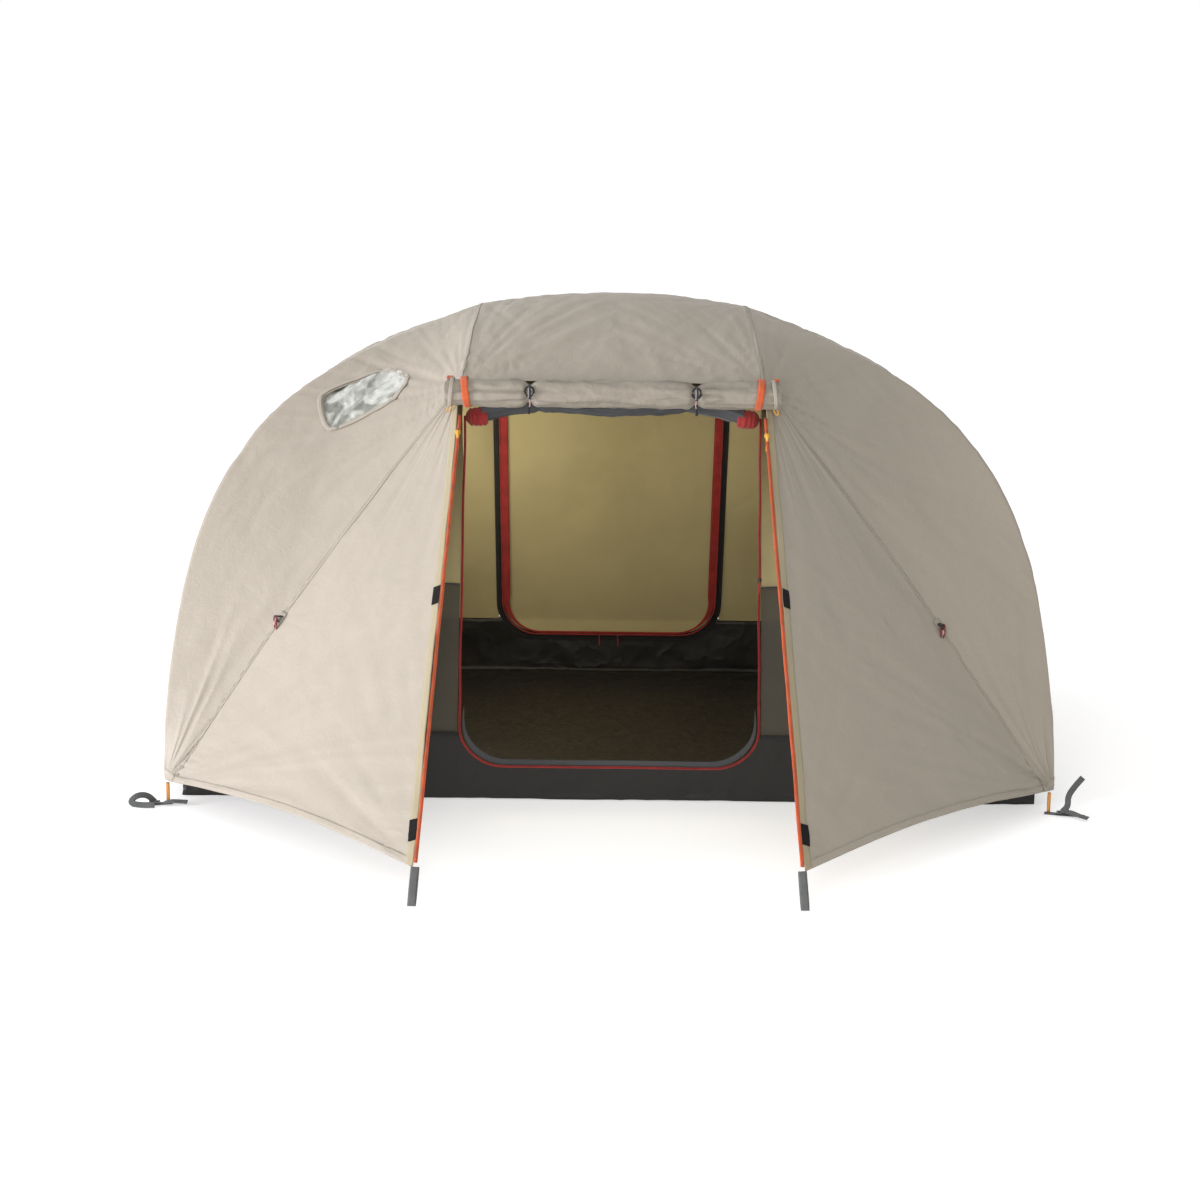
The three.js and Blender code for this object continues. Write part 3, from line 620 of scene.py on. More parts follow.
THREAD_PITCH = 0.0007
FLY = (0.412, 0.366, 0.303)
CREAM = (0.50, 0.420, 0.215)
MATERIALS = {
    "fly": taffeta("fly_cloth", FLY, 0.46, 0.04, 1.0),
    # The roll's cloth is the fly cloth darkened to 0.8: painted shade on the rolled door.
    "roll": taffeta("rolled_fly_cloth_painted_shade", darker(FLY, 0.80), 0.5, 0.06, 1.3),
    "facing": cloth("facing_cloth", (0.40, 0.34, 0.22), 0.7, 0.1, 0.001, 30.0),
    "inner": cloth("inner_cloth", CREAM, 0.75, 0.15, 0.004, 9.0, vary=0.12),
    "mesh": cloth("insect_mesh", (0.095, 0.086, 0.066), 0.9, 0.1, 0.002, 14.0,
                  pitch=0.0015, weave=0.0004, alpha=0.88),
    "tub": cloth("tub_cloth", (0.0118, 0.0097, 0.0076), 0.45, 0.03, 0.009, 12.0, vary=0.25, specular=0.4),
    "slate": cloth("slate_cloth", (0.060, 0.062, 0.066), 0.6, 0.1, 0.003, 18.0, vary=0.2),
    "film": film("window_film"),
    "orange": webbing("orange_tape", (0.66, 0.115, 0.03), 0.65, 0.0012),
    "red": webbing("red_tape", (0.40, 0.027, 0.024), 0.65, 0.0012),
    "maroon": webbing("maroon_tape", (0.20, 0.018, 0.018), 0.65, 0.0012),
    "black": webbing("black_tape", (0.014, 0.013, 0.013), 0.7, 0.0012),
    "grey": webbing("grey_webbing", (0.125, 0.13, 0.128), 0.8, 0.002),
    "thread": cloth("seam_tape", darker(FLY, 0.95), 0.55, 0.06, 0.0008, 60.0),
    "velcro": cloth("hook_tape", (0.006, 0.006, 0.006), 0.95, 0.0, 0.0015, 160.0, pitch=0.0014, weave=0.0006),
    "pole": anodised("bronze_alloy", (0.62, 0.30, 0.09), 0.32),
    "hub": moulded("hub_nylon", (0.03, 0.03, 0.031), 0.5),
    "buckle": moulded("buckle_acetal", (0.017, 0.017, 0.018), 0.36, clear=0.2),
    "amber": moulded("amber_pull", (0.72, 0.36, 0.05), 0.5),
    "pink": webbing("pale_cord", (0.62, 0.34, 0.33), 0.7, 0.0015),
    "cord": webbing("dark_cord", (0.012, 0.011, 0.012), 0.7, 0.0015),
    "stitch": cloth("stitch_thread", darker(FLY, 0.80), 0.7, 0.05, 0.0004, 200.0),
}


# ------------------------------------------------------------------ surfaces of the tent


def mm(*values):
    return np.array(values, float) / 1000


FOOT = mm(1121, 754, 0)
HUB = mm(370, 0, 1198)
RIDGE_RISE = 0.036
SHOULDER = (0.6645, 0.3, 0.8503)
ELBOW = (1.0437, 0.6, 0.7683)
BROW = mm(392, 455, 1045)
PEG_CORNER = mm(429, 1450, 86)
PEG_GROUND = mm(434, 1494, 0)
FLY_HEM = 0.060
SEAM_BOW = 0.022
HEM_BOW = 0.026
LEG_U = 0.36
GUY_AT = 0.61
TUB = mm(2200, 1370, 172)
FRONT_SILL, REAR_SILL = 0.089, 0.118
FRONT_HALF, REAR_HALF = 0.384, 0.350
DOOR_CORNER = 0.110
INNER_HUB = mm(355, 0, 1142)
INNER_BROW = mm(382, 425, 992)


def all_along(path, way):
    """One direction, once for each point of a path."""
    return np.repeat(np.array([way], float), len(path), 0)


def mix(a, b, t):
    t = np.asarray(t, float)[..., None]
    return a + (b - a) * t


def to_grid(u, v):
    """Two coordinates as arrays of one shape."""
    return np.broadcast_arrays(np.asarray(u, float), np.asarray(v, float))


def flip(points, side_x, side_y):
    return points * np.array([side_x, side_y, 1.0])


def arch(top, base, t):
    """A bent pole's line: it bows out along the tent's length, then comes forward to its foot."""
    def bend(across, along, height):
        return top + (base - top) * np.array([across, along, 1 - height])

    t = np.clip(np.asarray(t, float), 0, 1)[..., None]
    return (
        (1 - t) ** 3 * top
        + 3 * (1 - t) ** 2 * t * bend(*SHOULDER)
        + 3 * (1 - t) * t**2 * bend(*ELBOW)
        + t**3 * base
    )


def arch_end(top, base, height):
    above, below = 0.0, 1.0
    for _ in range(40):
        middle = (above + below) / 2
        if arch(top, base, middle)[2] > height:
            above = middle
        else:
            below = middle
    return above


SKIN_HUB = HUB + mm(0, 0, 25)
OUTWARDS = unit(np.array([FOOT[0] - HUB[0], FOOT[1], 0]))
SKIN_FOOT = FOOT + OUTWARDS * 0.012
LEG_END = arch_end(SKIN_HUB, SKIN_FOOT, FLY_HEM)
HEM_CORNER = arch(SKIN_HUB, SKIN_FOOT, LEG_END)
SEAM_FOOT = mix(HEM_CORNER, PEG_CORNER, 0.035)


def leg_skin(t):
    return arch(SKIN_HUB, SKIN_FOOT, np.asarray(t) * LEG_END)


def seam_line(t):
    bow = SEAM_BOW * np.sin(np.pi * np.clip(t, 0, 1))
    return mix(BROW, SEAM_FOOT, t) + np.asarray(bow)[..., None] * np.array([0.55, 0.35, 0.75])


def brow_line(t):
    t = np.asarray(t, float)
    x = HUB[0] + (BROW[0] - HUB[0]) * t**2
    z = SKIN_HUB[2] - (SKIN_HUB[2] - BROW[2]) * np.abs(t) ** 1.9
    return np.stack([x, BROW[1] * t, z], -1)


def side_panel(u, v):
    u, v = to_grid(u, v)
    across = np.minimum(u, 1 - u)
    leg = leg_skin(v)
    share = np.clip(across / LEG_U, 0, 1)
    near = seam_line(v) + (leg - seam_line(v)) * share[..., None]
    near = near + (brow_line(1 - share) - mix(BROW, SKIN_HUB, share)) * ((1 - v) ** 3)[..., None]
    past = np.clip((across - LEG_U) / (0.5 - LEG_U), 0, 1)
    slack = 0.014 * np.sin(np.pi * v) * (1 - (1 - past) ** 2)
    lift = 0.055 * v**8 * (1 - (1 - past) ** 2)
    far = np.stack([leg[..., 0] - slack, leg[..., 1] * (1 - past), leg[..., 2] + lift], -1)
    point = np.where((across < LEG_U)[..., None], near, far)
    point[..., 1] = np.where(u > 0.5, -point[..., 1], point[..., 1])
    return point


def flap_panel(u, v):
    u, v = to_grid(u, v)
    point = seam_line(v) + (mix(BROW, PEG_CORNER, v) - seam_line(v)) * u[..., None]
    point[..., 2] += HEM_BOW * np.sin(np.pi * u) * v**4
    return point


def roof_panel(u, v):
    u, v = to_grid(u, v)
    edge = brow_line(2 * v - 1)
    across = 2 * u - 1
    crown = 0.010 + (RIDGE_RISE - 0.010) * np.cos(np.pi / 2 * (2 * v - 1)) ** 2
    return np.stack([edge[..., 0] * across, edge[..., 1], edge[..., 2] + crown * (1 - across**2)], -1)


def rear_door_panel(u, v):
    u, v = to_grid(u, v)
    edge = mix(BROW, PEG_CORNER, v)
    across = 2 * u - 1
    rise = (1 - across**2) * (0.010 * (1 - v) + HEM_BOW * v**4)
    return np.stack([edge[..., 0] * across, edge[..., 1], edge[..., 2] + rise], -1)


def outline_of_window():
    """The window's rounded outline in the left side panel, as (u, v)."""
    corners = np.array([
        (0.322, 0.352), (0.262, 0.196), (0.176, 0.152), (0.150, 0.196), (0.215, 0.362),
    ])
    points = corners
    for _ in range(4):
        cut = 0.14 if len(points) < 6 else 0.25
        near = points * (1 - cut) + np.roll(points, -1, 0) * cut
        far = points * cut + np.roll(points, -1, 0) * (1 - cut)
        points = np.stack([near, far], 1).reshape(-1, 2)
    return points


WINDOW = outline_of_window()


def inside(outline, u, v):
    hit = np.zeros(u.shape, bool)
    ahead = np.roll(outline, -1, 0)
    for (u0, v0), (u1, v1) in zip(outline, ahead):
        crosses = (v0 > v) != (v1 > v)
        with np.errstate(divide="ignore", invalid="ignore"):
            at = (u1 - u0) * (v - v0) / (v1 - v0) + u0
        hit ^= crosses & (u < at)
    return hit


# ------------------------------------------------------------------ fly sheet

FLAP_COLS, SIDE_COLS, END_COLS, ROWS, ROOF_COLS = 44, 46, 60, 170, 84


def fly_relief(points):
    """How far the fly stands off its smooth line: slack, folds from its anchors, creases."""
    mirrored = np.abs(points)
    warp = points + 0.05 * np.stack([noise(points * 2.5, k) for k in (11, 12, 13)], -1)
    height = 0.0045 * noise(points * 2.1, 1)
    height += 0.0030 * creases(warp * np.array([5.0, 5.0, 2.6]), 2, 0.10)
    ways = unit(np.array([(0.8, -0.2, 0.57), (0.05, 0.93, 0.36), SEAM_WAY]))
    slant = np.abs(warp) * np.array([1, 1, 0]) + warp * np.array([0, 0, 1])
    slant = slant @ ways.T
    for k, (scale, tall) in enumerate(((9.0, 0.0040), (19.0, 0.0026), (33.0, 0.0015))):
        patchy = np.clip(noise(points * 3.3, 40 + k) * 2 + 0.35, 0, 1)
        height += tall * patchy * creases(slant * np.array([scale, scale, scale * 0.22]), 3 + k, 0.025)
    anchors = (
        (BROW, (0.3, 0.6, 0.75), 0.50, 13.0, 0.0065, 21, False),
        (HEM_CORNER, None, 0.60, 13.0, 0.0085, 22, True),
        (PEG_CORNER, (0.35, 0.75, 0.55), 0.42, 11.0, 0.0075, 23, False),
        (seam_line(np.array(GUY_AT)), (0.45, 0.75, 0.45), 0.10, 6.0, 0.0022, 24, False),
        (SKIN_HUB, (0.35, 0.0, 0.93), 0.35, 11.0, 0.0035, 25, False),
    )
    for anchor, normal, reach, folds, tall, seed, upright in anchors:
        quarter = (points[..., 0] > 0) * 2 + (points[..., 1] > 0)
        for corner in range(4):
            chosen = quarter == corner
            if chosen.any():
                height[chosen] += fan(
                    mirrored[chosen], anchor, normal, reach, folds, tall, seed + 10 * corner, upright
                )
    return height


def spaced(a, b, n):
    return np.linspace(a, b, n + 1)


def circle(n):
    return spaced(0, 2 * np.pi, n)[:-1]


def canopy():
    """The whole fly but for its doors: roof, two sides and four flaps, as one sheet."""
    v = spaced(0, 1, ROWS)[:, None]
    flap_u = spaced(1, 0, FLAP_COLS)[None]
    side_u = np.concatenate([
        spaced(0, LEG_U, SIDE_COLS),
        spaced(LEG_U, 1 - LEG_U, END_COLS)[1:],
        spaced(1 - LEG_U, 1, SIDE_COLS)[1:],
    ])[None]
    grids, keeps = [], []
    for _, side in SIDES:
        front = flip(flap_panel(flap_u, v), side, -1)
        middle = flip(side_panel(side_u, v), side, -1)
        rear = flip(flap_panel(flap_u[:, ::-1], v), side, 1)
        grids.append(np.concatenate([front, middle[:, 1:], rear[:, 1:]], 1))
        cols = grids[-1].shape[1]
        keep = np.ones((ROWS, cols - 1), bool)
        if side < 0:
            cell_u = (side_u[0, 1:] + side_u[0, :-1]) / 2
            cell_v = (v[1:, 0] + v[:-1, 0]) / 2
            hole = inside(WINDOW, *np.meshgrid(cell_u, cell_v))
            keep[:, FLAP_COLS:FLAP_COLS + hole.shape[1]] = ~hole
        keeps.append(keep)
    share = spaced(0, 1, SIDE_COLS)
    along = np.concatenate([share - 1, share[1:]])
    roof = roof_panel(spaced(0, 1, ROOF_COLS)[None], ((along + 1) / 2)[:, None])
    grids.append(roof)
    keeps.append(None)
    whole = mesh_of("fly_whole", grids, outward=(0, 0, 0.25))
    displace(whole, fly_relief)
    tree = tree_of(whole)
    mesh = mesh_of("fly_canopy", grids, keep=keeps, outward=(0, 0, 0.25))
    displace(mesh, fly_relief)
    bpy.data.meshes.remove(whole)
    piece = link(
        "fly_canopy", mesh, "fly", slot="fly_fabric",
        replaces=("fly_roof", "fly_left_side", "fly_right_side", "front_flap_left",
                  "front_flap_right", "rear_flap_left", "rear_flap_right"),
    )
    return piece, tree


# The fly's own surface, which canopy() makes and every sewn band follows.
FLY_SKIN = None


def strip(name, path, width, material, lift, turns=3, loop=False, skin=None, slot="fly_fabric", **facts):
    """A sewn band that follows the fly's own surface, or another skin."""
    skin = skin or FLY_SKIN
    held, facing = nearest(skin, resample(path, 0.008, loop))
    facing = unit(smoothed(facing, turns, loop))
    return ribbon(name, held, facing, width, material, lift, tree=skin, loop=loop, slot=slot, **facts)


def door_edge(t):
    return mix(BROW, PEG_CORNER, t)


HEM_AT = 0.9925
FACING_INSET, NARROWEST_FLAP = 0.0105, 0.02


def fly_seams():
    """Flat-felled seams, hem bands and door facings."""
    pieces = []
    t = spaced(0.0, 1.0, 160)
    for sname, side in SIDES:
        line = flip(brow_line(spaced(-1, 1, 120)), side, 1)
        pieces.append(strip(f"brow_seam_{sname}", line, 0.008, "thread", 0.0005))
        for ename, end in ENDS:
            seam = flip(seam_line(t), side, end)
            pieces.append(strip(f"{ename}_seam_{sname}", seam, 0.008, "thread", 0.0005))
            width = np.linalg.norm(door_edge(t) - seam_line(t), axis=-1)
            wide = width > NARROWEST_FLAP
            u = 1 - FACING_INSET / np.maximum(width, NARROWEST_FLAP)
            inset = flip(flap_panel(u[wide], t[wide]), side, end)
            pieces.append(strip(f"{ename}_facing_{sname}", inset, 0.020, "facing", 0.0016))
            hem = flip(flap_panel(spaced(0, 1, 90), HEM_AT), side, end)
            pieces.append(strip(f"{ename}_flap_hem_{sname}", hem, 0.017, "fly", 0.0010))
        hem = flip(side_panel(spaced(0, 1, 260), HEM_AT), side, -1)
        pieces.append(strip(f"side_hem_{sname}", hem, 0.017, "fly", 0.0010, turns=1))
    return pieces


STITCH_PITCH, STITCH_ROW = 0.0065, 0.0038
STITCH_FACES = ((0, 1, 4), (1, 2, 5, 4), (2, 3, 5), (3, 0, 4, 5), (0, 3, 2, 1))


def add_stitch(points, faces, centre, half, edge, rise):
    """One stitch of thread: a small rectangle with a ridge along it."""
    start = len(points)
    points.extend([centre - half - edge, centre - half + edge, centre + half + edge, centre + half - edge])
    points.extend([centre - half * 0.6 + rise, centre + half * 0.6 + rise])
    faces.extend(tuple(start + i for i in face) for face in STITCH_FACES)


def stitches():
    """Rows of small thread stitches beside the seams."""
    pieces = []
    for sname, side in SIDES:
        runs = [flip(seam_line(spaced(0.01, 0.995, 200)), side, end) for _, end in ENDS]
        runs.append(flip(brow_line(spaced(-1, 1, 120)), side, 1))
        points, faces = [], []
        for run in runs:
            held, facing = nearest(FLY_SKIN, resample(run, STITCH_PITCH))
            way = along_path(held)
            across = unit(np.cross(way, facing))
            for row in (-STITCH_ROW, STITCH_ROW):
                centres = held + across * row + facing * 0.0017
                for stitch in zip(centres, way * 0.0021, across * 0.0005, facing * 0.0006):
                    add_stitch(points, faces, *stitch)
        mesh = bpy.data.meshes.new(f"stitches_{sname}")
        mesh.from_pydata([tuple(p) for p in points], [], faces)
        pieces.append(link(f"stitches_{sname}", mesh, "stitch", slot="fly_fabric"))
    return pieces


def window():
    """Clear film with slanting folds, held in the hole by a stitched rim."""
    low, high = WINDOW.min(0), WINDOW.max(0)
    pad = 0.012
    u = spaced(low[0] - pad, high[0] + pad, 70)
    v = spaced(low[1] - pad, high[1] + pad, 90)
    uu, vv = np.meshgrid(u, v)
    grid = flip(side_panel(uu, vv), -1, -1)
    middles = ((edges[1:, 1:] + edges[:-1, :-1]) / 2 for edges in (uu, vv))
    centre = WINDOW.mean(0)
    keep = inside(centre + (WINDOW - centre) * 1.06, *middles)
    mesh = mesh_of("window_film", [grid], keep=[keep], outward=(0, 0, 0.25))

    def folds(points):
        x, y, z = points.T
        slant = np.stack([x * 26 - z * 30, y * 9, (x + z) * 5], -1)
        return -0.003 + 0.0075 * creases(slant, 31, 0.05) + 0.003 * creases(points * 34.0, 32)

    displace(mesh, folds, -0.008, 0.004)
    piece = link("window_film", mesh, "film", slot="clear_film", replaces=("fly_window",))
    path = flip(side_panel(WINDOW[:, 0], WINDOW[:, 1]), -1, -1)
    rim = strip("window_rim", path, 0.012, "thread", 0.0018, loop=True, crown=0.0006)
    back = strip("window_rim_back", path, 0.020, "thread", -0.0016, loop=True)
    return [rim, back]


FLY_SLIDER_SIZE = 1.35
DOOR_LEAN = np.array([0.0, 0.69, 0.72])


def zip_parts(tag, path, facing, tape_width, colour, body="tent", coil=0.0021, slot="orange_trim", **facts):
    """A zip: woven tape, and a coil of small teeth along one line."""
    tape = ribbon(f"{tag}_tape", path, facing, tape_width, colour, body=body, slot=slot, **facts)
    fine = resample(path, 0.0016)
    steps = np.linspace(0, 1, len(path))
    at = np.linspace(0, 1, len(fine))
    lift = np.stack([np.interp(at, steps, facing[:, k]) for k in range(3)], -1)
    way = along_path(fine)
    across = unit(np.cross(way, lift))
    swing = np.where(np.arange(len(fine)) % 2 == 0, 1.0, -1.0)[:, None]
    line = fine + across * swing * coil * 0.9 + lift * coil * 0.9
    teeth = cable(f"{tag}_teeth", line, coil * 0.42, colour, sides=5, body=body, slot=slot)
    return tape, teeth


def slider(tag, at, way, facing, colour, body, replaces, size=1.0):
    """A zip slider with a body, a bridge and a moulded pull."""
    at, way, facing = (np.asarray(x, float) for x in (at, unit(way), unit(facing)))
    across = unit(np.cross(way, facing))
    facing = np.cross(across, way)
    bm = bmesh.new()
    outline = [(-5, -4.2), (0, -5.6), (5.5, -3.4), (7, 0), (5.5, 3.4), (0, 5.6), (-5, 4.2), (-6, 0)]
    for low, high, grow in ((-1.6, 0.6, 1.0), (2.0, 3.6, 0.86)):
        rings = []
        for height, share in ((low, 0.9), (low + 0.4, 1.0), (high - 0.4, 1.0), (high, 0.9)):
            rings.append([
                bm.verts.new(at + (
                    way * ahead * share * grow + across * aside * share * grow + facing * height
                ) * 0.001 * size)
                for ahead, aside in outline
            ])
        for one, two in zip(rings, rings[1:]):
            for i in range(len(outline)):
                j = (i + 1) % len(outline)
                bm.faces.new((one[i], one[j], two[j], two[i]))
        bm.faces.new(rings[0][::-1])
        bm.faces.new(rings[-1])
    bmesh.ops.recalc_face_normals(bm, faces=bm.faces)
    mesh = bpy.data.meshes.new(f"{tag}_body")
    bm.to_mesh(mesh)
    bm.free()
    piece = link(f"{tag}_body", mesh, "amber" if colour == "amber" else "hub", body=body,
                 slot="pull_trim" if colour == "amber" else "red_trim", replaces=replaces)
    turn = np.linspace(0, np.pi, 9)
    bridge = np.stack([np.cos(turn) * 4.2, 3.4 + np.sin(turn) * 3.0], -1) * 0.001 * size
    line = at + way * bridge[:, :1] + facing * bridge[:, 1:]
    cable(f"{tag}_bridge", line, 0.0008 * size, "hub", sides=6, body=body, slot="hub_plastic")
    start = at + facing * 0.0058 * size
    down = np.array([0, 0, -1.0])
    pull = bent([
        start, start + facing * 0.003 + down * 0.003, start + facing * 0.004 + down * 0.012,
        start + facing * 0.003 + down * 0.026 * size, start + facing * 0.002 + down * 0.034 * size,
    ], 3)
    radius = np.interp(np.linspace(0, 1, len(pull)), [0, 0.35, 0.5, 0.9, 1], mm(1, 1.1, 2.4, 2.6, 1.2))
    cable(f"{tag}_pull", pull, radius * size, colour, sides=8, body=body,
          slot="pull_trim" if colour == "amber" else "red_trim")
    return piece


def fly_doors():
    """The zips, hook tabs and corner loops at the front doorway."""
    extras = []
    t = spaced(0.075, 0.992, 110)
    for sname, side in SIDES:
        edge = flip(door_edge(t), side, -1)
        lift = flip(DOOR_LEAN, 1, -1)
        facing = all_along(edge, unit(lift))
        wobble = 0.0012 * noise(np.stack([t * 9, np.zeros_like(t), np.full_like(t, 3.3 * side)], -1), 5)
        path = edge + np.array([-side * 0.004, 0, 0]) + facing * 0.0022
        path[:, 0] += wobble
        zip_parts(f"fly_zip_{sname}", path, facing, 0.0085, "orange", replaces=(f"fly_zip_{sname}",))
        at = flip(door_edge(np.array(0.118)), side, -1) + lift * 0.0055 + np.array([-side * 0.004, 0, 0])
        way = edge[-1] - edge[0]
        slider(f"fly_slider_{sname}", at, way, lift, "amber", f"fly_zip_slider_{sname}",
               (f"fly_zip_slider_{sname}",), FLY_SLIDER_SIZE)
        for k, where in enumerate((0.475, 0.932)):
            centre = flip(door_edge(np.array([where - 0.019, where, where + 0.019])), side, -1)
            centre = centre + np.array([side * 0.012, 0, 0])
            extras.append(strip(f"hook_tab_{sname}_{k}", centre, 0.021, "velcro", 0.0034,
                                cols=6, turns=1, slot="buckle_plastic"))
        corner = flip(BROW, side, -1)
        loop = bent([corner + flip(mm(*p), side, 1) for p in (
            (16, -52, -30), (24, -60, -44), (34, -62, -56), (30, -60, -66), (20, -60, -52), (14, -54, -34),
        )], 3)
        cord(f"amber_loop_{sname}", loop, 0.0016, "amber", "object", slot="pull_trim")
        tab = bent([corner + flip(mm(*p), side, 1) for p in (
            (22, -34, 4), (22, -46, 22), (24, -58, 30), (26, -70, 22),
        )], 3)
        facing = unit(np.cross(along_path(tab), np.array([[1.0, 0, 0]])))
        extras.append(ribbon(f"corner_tab_{sname}", tab, facing, 0.014, "orange", 0.0,
                             thick=WEB_THICKNESS, slot="orange_trim"))
    return extras


def rear_door():
    """The closed rear door with its zips, facings and hem."""
    v = spaced(0.004, 0.996, 150)[:, None]
    u = spaced(0.004, 0.996, 90)[None]
    mesh = mesh_of("rear_door", [rear_door_panel(u, v)], outward=(0, 0, 0.25))

    def relief(points):
        down = np.clip((points[:, 1] - BROW[1]) / (PEG_CORNER[1] - BROW[1]), 0, 1)
        edge = np.clip((door_edge(down)[:, 0] - np.abs(points[:, 0])) / 0.05, 0, 1)
        return fly_relief(points) * (0.25 + 0.75 * edge)

    displace(mesh, relief)
    skin = tree_of(mesh)
    door = link("rear_door_cloth", mesh, "fly", body="rear_fly_door", slot="fly_fabric",
                replaces=("rear_fly_door",))
    extras = []
    t = spaced(0.03, 0.992, 110)
    for sname, side in SIDES:
        edge = flip(door_edge(t), side, 1)
        facing = all_along(edge, unit(DOOR_LEAN))
        path = edge + facing * 0.0034 - np.array([side * 0.006, 0, 0])
        extras += zip_parts(f"rear_fly_zip_{sname}", path, facing, 0.016, "orange", body="rear_fly_door")
        inner = edge - np.array([side * 0.030, 0, 0])
        extras.append(strip(f"rear_door_facing_{sname}", inner, 0.026, "facing", 0.0013, skin=skin,
                            body="rear_fly_door"))
        at = flip(door_edge(np.array(0.97)), side, 1) + facing[0] * 0.006 - np.array([side * 0.006, 0, 0])
        slider(f"rear_fly_slider_{sname}", at, edge[-1] - edge[0], facing[0], "amber", "rear_fly_door", (),
               FLY_SLIDER_SIZE)
    hem = rear_door_panel(spaced(0.01, 0.99, 90), 0.984)
    extras.append(strip("rear_door_hem", hem, 0.024, "fly", 0.0015, skin=skin, body="rear_fly_door"))


# ------------------------------------------------------------------ rolled doors

ROLL_AT = mm(0, -531, 1034)
ROLL_RADIUS, ROLL_HALF, ROLL_CORE = 0.036, 0.426, 0.30
TOGGLE_X, STRAP_X = 0.212, 0.366
INNER_ROLL_AT = mm(0, -466, 996)


def rolled(name, centre, radius, half, turns, material, pinch=(), drop=None, seed=1, squeeze=0.30,
           **facts):
    """A sheet wound into a spiral roll, squeezed where cords tie it."""
    x = spaced(-half, half, 200)
    angle = spaced(0, 2 * np.pi * turns, int(turns * 34))
    along, angles = np.meshgrid(x, angle)
    wound = ROLL_CORE + (1 - ROLL_CORE) * (angles / angle[-1])
    outer = wound**2
    size = radius * wound
    cuts = np.zeros_like(along)
    for at in pinch:
        cuts += 0.62 * np.exp(-((along - at) / 0.011) ** 2) + 0.38 * np.exp(-np.abs(along - at) / 0.045)
        near = np.exp(-np.abs(along - at) / 0.11)
        place = np.stack([np.cos(angles) * 2.6, np.sin(angles) * 2.6, (along - at) * 3 + at * 31], -1)
        size = size + outer * near * 0.0240 * creases(place, seed + 3, 0.03)
    size = size * (1 - squeeze * np.clip(cuts, 0, 1))
    place = np.stack([along * 9, np.cos(angles) * 1.4 + angles * 0.08, np.sin(angles) * 1.4], -1)
    coarse, fine = creases(place, seed, 0.03), creases(place * 2.7, seed + 1, 0.03)
    size = size + outer * (0.0062 * coarse + 0.0026 * fine)
    sway = 0.004 * noise(np.stack([x * 3.1, x * 0, x * 0 + seed], -1), seed + 7)
    fall = np.zeros_like(x) if drop is None else drop(x)
    lean = 0.35 * np.sin(angles * 0.5 + along * 6) * outer * 0.004
    y = centre[1] + size * np.cos(angles - 0.6) + sway[None] + lean
    z = centre[2] + size * np.sin(angles - 0.6) * 0.97 + fall[None]
    ragged = 0.004 * np.sin(angles * 1.7 + 1) * (np.abs(along) / half) ** 6 * np.sign(along)
    grid = np.stack([centre[0] + along + ragged, y, z], -1)
    mesh = mesh_of(name, [grid])
    fix_facing(mesh)
    return link(name, mesh, material, **facts)


def roll_band(name, x, radius, width, material, lean=0.0, **facts):
    """A strap round the fly's roll."""
    turn = circle(48)
    bumpy = radius * (1 + 0.02 * np.sin(3 * turn + x * 9))
    path = np.stack([
        np.full_like(turn, x) + lean * np.sin(turn),
        ROLL_AT[1] + bumpy * np.cos(turn),
        ROLL_AT[2] + bumpy * np.sin(turn),
    ], -1)
    facing = unit(path - np.array([x, ROLL_AT[1], ROLL_AT[2]]))
    return ribbon(name, path, facing, width, material, 0.0, thick=0.0018, loop=True, **facts)


def door_rolls():
    # The roll takes the darkened "roll" cloth: painted shade.
    roll = rolled("fly_roll", ROLL_AT, ROLL_RADIUS - 0.002, ROLL_HALF - 0.002, 8, "roll",
                  pinch=(-TOGGLE_X, TOGGLE_X), seed=41, squeeze=0.46,
                  slot="fly_fabric", replaces=("fly_door_roll",))
    for sname, side in SIDES:
        roll_band(
            f"roll_strap_{sname}_band", STRAP_X * side + 0.008 * side, ROLL_RADIUS + 0.0030, 0.018, "orange",
            lean=0.005 * side, slot="orange_trim", replaces=(f"roll_strap_{sname}",),
        )
        roll_band(
            f"roll_edge_{sname}", (ROLL_HALF - 0.014) * side, ROLL_RADIUS + 0.0010, 0.010, "thread",
            lean=-0.004 * side, slot="fly_fabric",
        )
        tie(sname, side)

    def drop(x):
        return -0.030 * np.abs(x / 0.35) ** 3 - 0.008 * np.cos(x / 0.35 * np.pi * 1.5) + 0.004

    inner = rolled("inner_roll", INNER_ROLL_AT, 0.0235, 0.335, 7, "slate", pinch=(-0.19, 0.19), drop=drop,
                   seed=61, squeeze=0.22, slot="rolled_door", replaces=("inner_door_roll",))
    for sname, side in SIDES:
        x = 0.350 * side
        along = spaced(-0.026, 0.030, 22)
        line = np.stack([x + along * side, INNER_ROLL_AT[1] + 0.002 * np.sin(along * 90),
                         INNER_ROLL_AT[2] - 0.030 - 0.10 * (along + 0.026)], -1)
        radius = np.interp(along, [-0.026, -0.018, 0.0, 0.018, 0.026, 0.030],
                           [0.0215, 0.0245, 0.0240, 0.0225, 0.0150, 0.0050])
        radius = radius * (1 + 0.05 * np.sin(along * 520 + side))
        cable(f"inner_roll_end_{sname}", line, radius, "red", sides=22,
                          slot="red_trim")


